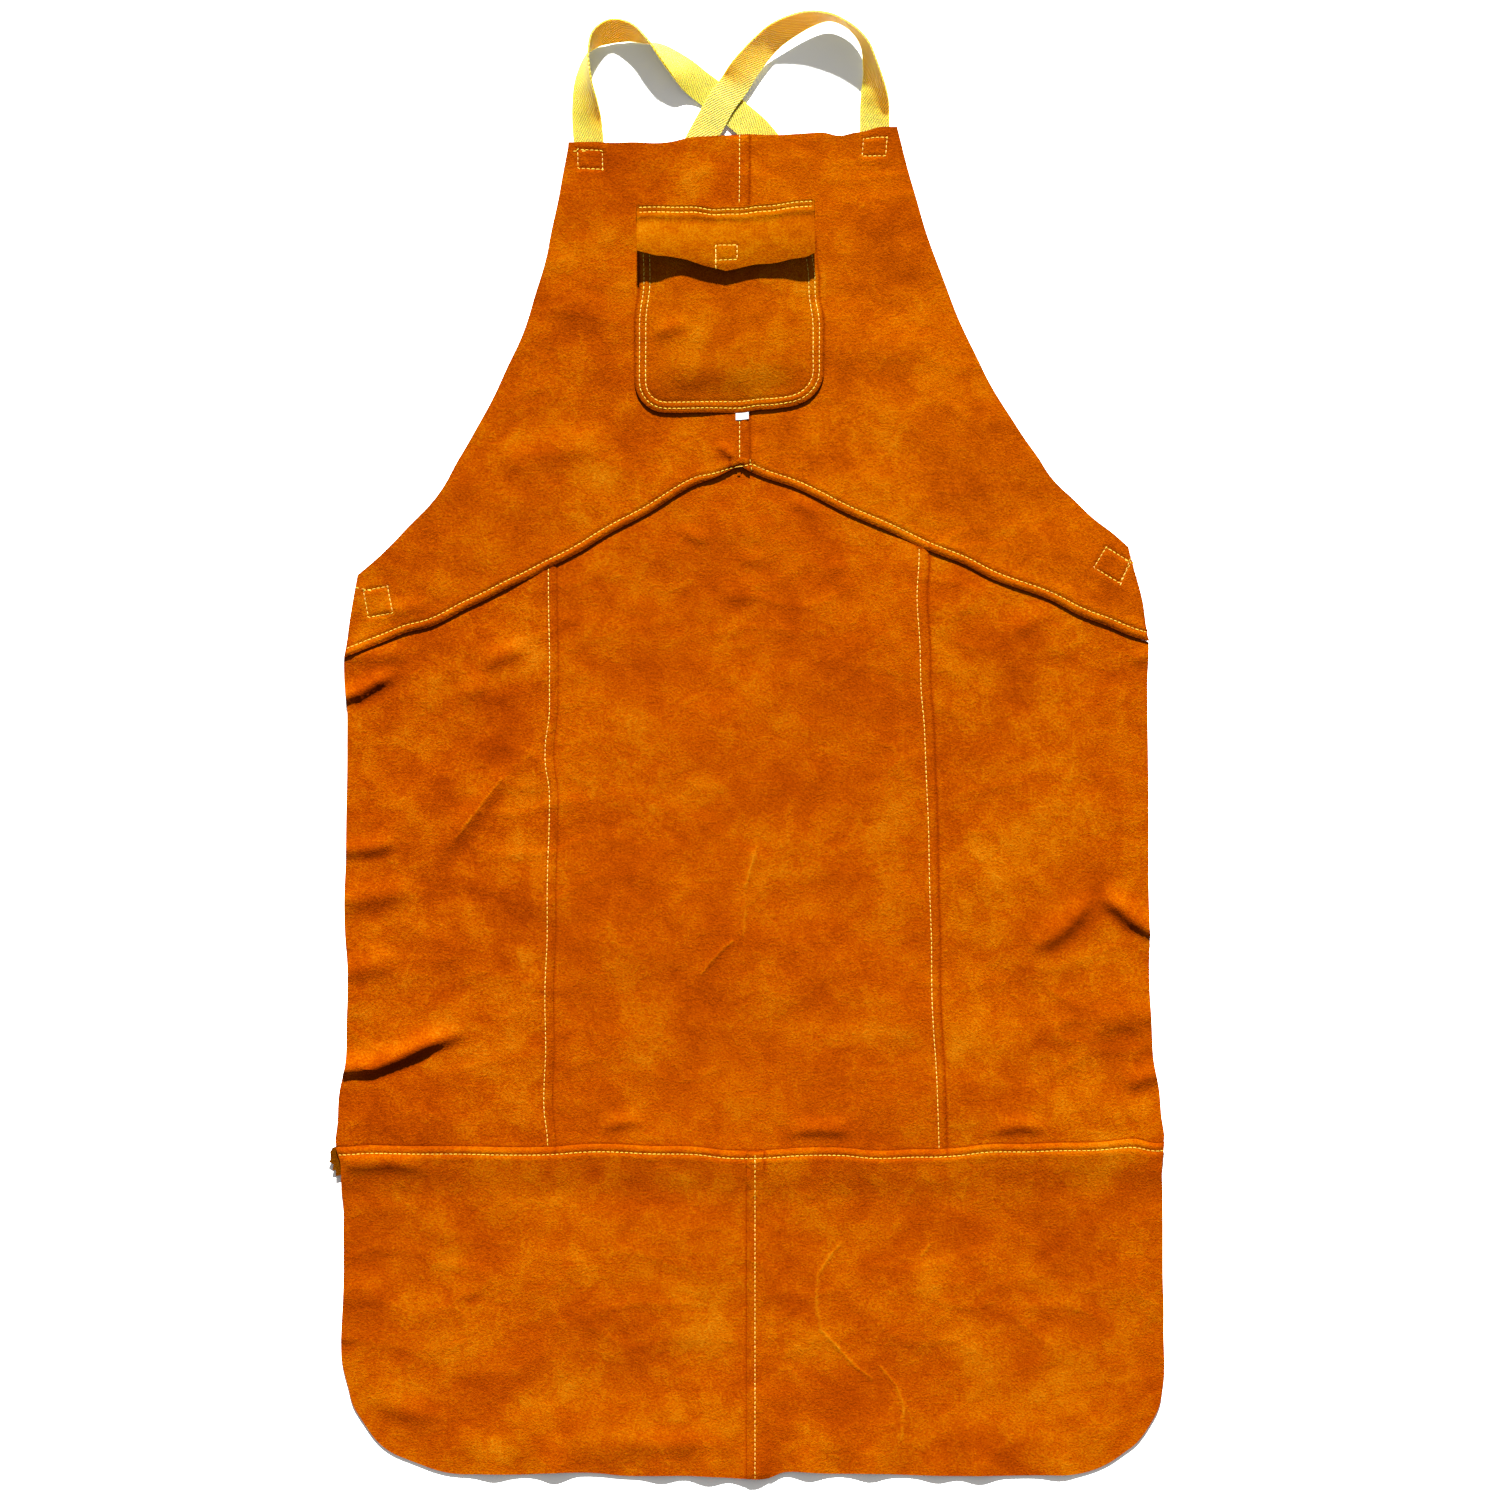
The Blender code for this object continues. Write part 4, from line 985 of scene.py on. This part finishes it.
# ---------------------------------------------------------------- stitches
def stitch_tree():
    """Short arcs of thread, one at each pitch along a row."""
    tree = bpy.data.node_groups.new("lockstitch_row", "GeometryNodeTree")
    for label, kind in (
        ("Rows", "NodeSocketGeometry"),
        ("Pitch", "NodeSocketFloat"),
        ("Stitch Length", "NodeSocketFloat"),
        ("Thread Radius", "NodeSocketFloat"),
        ("Seed", "NodeSocketInt"),
        ("Thread", "NodeSocketMaterial"),
    ):
        tree.interface.new_socket(label, in_out="INPUT", socket_type=kind)
    tree.interface.new_socket("Stitches", in_out="OUTPUT", socket_type="NodeSocketGeometry")
    given = add(tree, "NodeGroupInput").outputs
    half = add(tree, MATHS, {0: given["Stitch Length"], 1: 0.5}, operation="MULTIPLY")
    less = add(tree, MATHS, {0: half, 1: -1.0}, operation="MULTIPLY")
    sunk = add(tree, MATHS, {0: given["Thread Radius"], 1: -0.8}, operation="MULTIPLY")
    start = add(tree, "ShaderNodeCombineXYZ", {"Y": sunk, "Z": less})
    middle = add(tree, "ShaderNodeCombineXYZ", {"Y": given["Thread Radius"]})
    end = add(tree, "ShaderNodeCombineXYZ", {"Y": sunk, "Z": half})
    arc = add(
        tree,
        "GeometryNodeCurveQuadraticBezier",
        {"Resolution": 5, "Start": start, "Middle": middle, "End": end},
    )
    section = add(
        tree,
        "GeometryNodeCurvePrimitiveCircle",
        {"Resolution": 6, "Radius": given["Thread Radius"]},
    )
    stitch = add(
        tree,
        "GeometryNodeCurveToMesh",
        {"Curve": arc, "Profile Curve": section, "Fill Caps": True},
    )
    curve = add(tree, "GeometryNodeMeshToCurve", {"Mesh": given["Rows"]})
    spots = add(
        tree,
        "GeometryNodeCurveToPoints",
        {"Curve": curve, "Length": given["Pitch"]},
        mode="LENGTH",
    )
    turned = add(
        tree,
        "FunctionNodeAxesToRotation",
        {"Primary Axis": spots.outputs["Tangent"], "Secondary Axis": (0, 0, 1)},
        primary_axis="Z",
        secondary_axis="Y",
    )
    wander = add(
        tree,
        "FunctionNodeRandomValue",
        {"Min": (-0.05, -0.12, -0.05), "Max": (0.05, 0.12, 0.05), "Seed": given["Seed"]},
        data_type="FLOAT_VECTOR",
    )
    rotation = add(
        tree,
        "FunctionNodeRotateRotation",
        {"Rotation": turned, "Rotate By": wander.outputs["Value"]},
        rotation_space="LOCAL",
    )
    size = add(
        tree,
        "FunctionNodeRandomValue",
        {"Min": (0.92, 0.90, 0.86), "Max": (1.08, 1.12, 1.06), "Seed": given["Seed"]},
        data_type="FLOAT_VECTOR",
    )
    placed = add(
        tree,
        "GeometryNodeInstanceOnPoints",
        {
            "Points": spots.outputs["Points"],
            "Instance": stitch,
            "Rotation": rotation,
            "Scale": size.outputs["Value"],
        },
    )
    whole = add(tree, "GeometryNodeRealizeInstances", {"Geometry": placed})
    dyed = add(tree, "GeometryNodeSetMaterial", {"Geometry": whole, "Material": given["Thread"]})
    add(tree, "NodeGroupOutput", {"Stitches": dyed})
    return tree


def top_of(*objects):
    """A search tree over finished leather."""
    points, faces = [], []
    for obj in objects:
        offset = len(points)
        points += [v.co.copy() for v in obj.data.vertices]
        faces += [[i + offset for i in f.vertices] for f in obj.data.polygons]
    return BVHTree.FromPolygons(points, faces)


def sewn(name, rows, tree):
    """Rows of stitches laid on finished leather: (row in the pattern, what it lies on)."""
    points, edges = [], []
    for row, surface in rows:
        path = np.array([tuple(p) for p in even(row, SEWN_STEP)])
        path = path + sway(path, FLAP_SWAY if surface is flap_top else SWAY)
        first = len(points)
        for x, y in path:
            points.append((x, y, height_on(surface, x, y) + THREAD_LIFT))
        edges += [(i, i + 1) for i in range(first, len(points) - 1)]
    mesh = bpy.data.meshes.new(name)
    mesh.from_pydata(points, edges, [])
    obj = bpy.data.objects.new(name, mesh)
    bpy.context.scene.collection.objects.link(obj)
    modifier = obj.modifiers.new("stitches", "NODES")
    modifier.node_group = tree
    wanted = {
        "Pitch": STITCH_PITCH,
        "Stitch Length": STITCH_LENGTH,
        "Thread Radius": THREAD_RADIUS,
        "Seed": STITCH_SEED,
        "Thread": THREAD,
    }
    for item in tree.interface.items_tree:
        if item.name in wanted:
            modifier[item.identifier] = wanted[item.name]
    return plain(obj)


bib_top = top_of(pieces["bib_panel_left"], pieces["bib_panel_right"])
hem_top = top_of(pieces["hem_panel_left"], pieces["hem_panel_right"])
pouch_top = top_of(pieces["pocket_pouch"])
flap_top = top_of(flap)
rows_on_apron = [
    (waist_row, bib_top),
    (line["bib_centre_stitch_upper"], bib_top),
    (line["bib_centre_stitch_lower"], bib_top),
    (line["skirt_seam_stitch_left"], top_of(pieces["skirt_panel_left"])),
    (line["skirt_seam_stitch_right"], top_of(pieces["skirt_panel_centre"])),
    (hem_row, hem_top),
    (line["hem_centre_stitch"], hem_top),
    (mm_row((5, -292), (5, -327)), hem_top),
    (pocket_rows[0], pouch_top),
    (pocket_rows[1], pouch_top),
    (flap_rows[0], flap_top),
    (flap_rows[1], flap_top),
    # thread tails and back-tacks
    (mm_row((-330, 186), (-320, 184)), bib_top),
    (mm_row((313, 190), (323, 213)), bib_top),
    (mm_row((319, 209), (326, 207)), bib_top),
    (mm_row((-148, 555), (-140, 555.5)), bib_top),
    (mm_row((1, 291), (2, 285)), bib_top),
] + [(box, bib_top) for box in boxes]
lockstitch = stitch_tree()
seams = sewn("apron_stitches", rows_on_apron, lockstitch)
closure_seam = sewn(
    "closure_stitches", [(closure_row, flap_top), (mm_row((-28, 470), (-28, 457)), flap_top)], lockstitch
)
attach(seams, "apron")
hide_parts(*[n for n in line if n != "flap_patch_stitch"])

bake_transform(flap)
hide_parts("pocket_flap", "pocket_flap_band")
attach(closure_seam, "pocket_flap")
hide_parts("flap_patch_stitch")
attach(loop_patch, "apron")
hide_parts("pocket_loop_patch")
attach(hook_patch, "pocket_flap")
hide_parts("flap_hook_patch")
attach(tag, "size_label")
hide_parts("size_label")

# ---------------------------------------------------------------- shoulder straps
strap_fold = joints["strap_fold"]
hinge_point = Vector(strap_fold["pos_m"])
hinge_line = Vector(strap_fold["axis"]).normalized()
hinge_out = Vector((-hinge_line.y, hinge_line.x, 0))
HINGE_OUT = 0.0045
CROSS_X = -0.0230
RUN_PULL = (0.050, 0.200)
RUN_START = 0.012                         # past the loop's end, where the hidden run begins
RUN_POINTS = 24
TAB_SHORT = 0.008                         # the tab lies flat to this far short of the bib's edge
WEB_STEP = 0.0022
WEB_BOW = 0.0007                          # standing webbing bows a little across its width
ACROSS = 9


def bib_edge_y(x):
    """The bib's slanted top edge, which the straps' heights are measured from."""
    base = hinge_point - hinge_out * HINGE_OUT
    return base.y + (x - base.x) * hinge_line.y / hinge_line.x


# Each loop: share of the way to the crossing, height over the bib's edge, lean in degrees,
# and how far its lower edge is off the ground.
LEFT_LOOP = (
    (-0.015, 0.014, 8, 0.0014),
    (-0.030, 0.031, 32, 0.0010),
    (-0.042, 0.048, 54, 0.0006),
    (-0.030, 0.064, 74, 0.0004),
    (0.000, 0.077, 94, 0.0004),
    (0.065, 0.087, 122, 0.0004),
    (0.174, 0.0915, 140, 0.0004),
    (0.303, 0.090, 124, 0.0004),
    (0.430, 0.082, 96, 0.0004),
    (0.540, 0.073, 66, 0.0004),
    (0.680, 0.0587, 38, 0.0003),
    (0.800, 0.0455, 10, 0.0002),
    (0.900, 0.0365, 0, 0.0002),
    (1.000, 0.0275, 0, 0.0002),
    (1.136, 0.0140, 0, 0.0008),
)
RIGHT_LOOP = (
    (0.000, 0.014, 8, 0.0016),
    (0.000, 0.027, 30, 0.0020),
    (0.010, 0.041, 52, 0.0030),
    (0.033, 0.056, 66, 0.0044),
    (0.060, 0.0683, 74, 0.0056),
    (0.114, 0.0790, 80, 0.0064),
    (0.196, 0.0880, 83, 0.0066),
    (0.307, 0.0940, 78, 0.0064),
    (0.454, 0.0925, 58, 0.0058),
    (0.624, 0.0830, 40, 0.0048),
    (0.732, 0.0715, 34, 0.0040),
    (0.850, 0.0545, 20, 0.0042),
    (0.920, 0.0410, 0, 0.0034),
    (1.000, 0.0275, 0, 0.0028),
    (1.060, 0.0140, 0, 0.0022),
)


def spline(rows, step):
    """An even Catmull-Rom curve through rows of numbers, and its length."""
    rows = [np.array(r, float) for r in rows]
    padded = [2 * rows[0] - rows[1], *rows, 2 * rows[-1] - rows[-2]]
    dense = []
    for a, b, c, d in zip(padded, padded[1:], padded[2:], padded[3:]):
        for t in np.linspace(0, 1, 16, endpoint=False):
            dense.append(
                0.5 * (2 * b + (c - a) * t + (2 * a - 5 * b + 4 * c - d) * t**2
                       + (3 * b - a - 3 * c + d) * t**3)
            )
    dense.append(rows[-1])
    dense = np.array(dense)
    marks = np.concatenate([[0], np.cumsum(np.linalg.norm(np.diff(dense[:, :3], axis=0), axis=1))])
    wanted = np.linspace(0, marks[-1], int(marks[-1] / step) + 1)
    return np.stack([np.interp(wanted, marks, dense[:, i]) for i in range(4)], 1), marks[-1]


def strap(name, side, rows, end, heading):
    """One length of webbing: sewn tab, free loop, crossing, and the run under the bib."""
    low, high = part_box(f"shoulder_strap_{side}_tab")
    base_x = (low.x + high.x) / 2
    flat_z = (low.z + high.z) / 2
    route = [(base_x, low.y, flat_z, 0), (base_x, bib_edge_y(base_x) - TAB_SHORT, flat_z, 0)]
    for share, height, lean, clear in rows:
        x = base_x + (CROSS_X - base_x) * share
        angle = math.radians(lean)
        z = clear + WEB_WIDTH / 2 * abs(math.sin(angle)) + WEB_THICKNESS / 2 * abs(math.cos(angle))
        route.append((x, bib_edge_y(x) + height, z, angle))
    last, before = Vector(route[-1][:2]), Vector(route[-2][:2])
    run = (last - before).normalized()
    start = last + run * RUN_START
    curve = interpolate_bezier(
        (*start, flat_z),
        (*(start + run * RUN_PULL[0]), flat_z),
        (*(Vector(end) - Vector(heading).normalized() * RUN_PULL[1]), flat_z),
        (*end, flat_z),
        RUN_POINTS,
    )
    route += [(p.x, p.y, flat_z, 0) for p in curve]
    stations, length = spline(route, WEB_STEP)
    across = np.linspace(-1, 1, ACROSS)
    points, uvs = [], []
    for i, row in enumerate(stations):
        place = Vector(row[:3])
        after = stations[min(i + 2, len(stations) - 1)][:3]
        ahead = Vector(after - stations[max(i - 2, 0)][:3]).normalized()
        beside = ahead.cross(Vector((0, 0, 1))).normalized()
        width = beside * math.cos(row[3]) + Vector((0, 0, 1)) * math.sin(row[3])
        width = (width - ahead * width.dot(ahead)).normalized()
        up = width.cross(ahead)
        bow = WEB_BOW * math.sin(row[3])
        for u in across:
            offset = width * (u * WEB_WIDTH / 2) + up * (WEB_THICKNESS / 2 - bow * (1 - u * u))
            points.append(place + offset)
            uvs.append((u * WEB_WIDTH / 2, i / (len(stations) - 1) * length))
    faces = []
    for i in range(len(stations) - 1):
        for j in range(len(across) - 1):
            a = i * len(across) + j
            faces.append((a, a + 1, a + len(across) + 1, a + len(across)))
    mesh = bpy.data.meshes.new(name)
    mesh.from_pydata([tuple(p) for p in points], [], faces)
    layer = mesh.uv_layers.new(name="weave")
    for loop in mesh.loops:
        layer.data[loop.index].uv = uvs[loop.vertex_index]
    obj = bpy.data.objects.new(name, mesh)
    bpy.context.scene.collection.objects.link(obj)
    solid = obj.modifiers.new("thickness", "SOLIDIFY")
    solid.thickness = WEB_THICKNESS
    solid.offset = -1
    mesh.materials.append(WEB)
    plain(obj)
    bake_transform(obj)
    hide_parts(*[f"shoulder_strap_{side}_{part}" for part in ("tab", "loop", "back_run")])
    return obj


strap("left_shoulder_strap", "left", LEFT_LOOP, (0.3175, 0.1975), (0.80, -0.60))
strap("right_shoulder_strap", "right", RIGHT_LOOP, (-0.3225, 0.1660), (-0.75, -0.66))

# ---------------------------------------------------------------- floor, light and camera
FLOOR_SIZE = 14.0
FLOOR_DROP = 0.0006
floor_mesh = bpy.data.meshes.new("floor")
half = FLOOR_SIZE / 2
corners = [(-half, -half, 0), (half, -half, 0), (half, half, 0), (-half, half, 0)]
floor_mesh.from_pydata(corners, [], [(0, 1, 2, 3)])
floor = bpy.data.objects.new("floor", floor_mesh)
floor.location.z = -FLOOR_DROP
bpy.context.scene.collection.objects.link(floor)
paper, _, paper_shader = begun("white_paper_sweep")
paper_shader.inputs["Base Color"].default_value = linear("#FCFBF8")
paper_shader.inputs["Roughness"].default_value = 0.9
paper_shader.inputs["Specular IOR Level"].default_value = 0.0
floor_mesh.materials.append(paper)

world = bpy.data.worlds.new("soft_room")
world.use_nodes = True
world.node_tree.nodes["Background"].inputs["Color"].default_value = linear("#FFFFFF")
world.node_tree.nodes["Background"].inputs["Strength"].default_value = 0.42
bpy.context.scene.world = world

KEY_HEIGHT = math.radians(33)
key_data = bpy.data.lights.new("key", "SUN")
key_data.energy = 20.6
key_data.angle = math.radians(2.5)
key = bpy.data.objects.new("key", key_data)
key.rotation_euler = (math.radians(-90) + KEY_HEIGHT, 0, 0)
bpy.context.scene.collection.objects.link(key)

camera_data = bpy.data.cameras.new("camera")
camera_data.type = "PERSP"
camera_data.sensor_width = 36
CAMERA_DISTANCE = 10.0
VIEW_WIDTH = 1.2675
camera_data.lens = camera_data.sensor_width * CAMERA_DISTANCE / VIEW_WIDTH
camera_data.clip_end = 50
camera = bpy.data.objects.new("camera", camera_data)
camera.location = (0.0008, 0.0490, CAMERA_DISTANCE)
bpy.context.scene.collection.objects.link(camera)
bpy.context.scene.camera = camera
bpy.context.scene.view_settings.view_transform = "Standard"
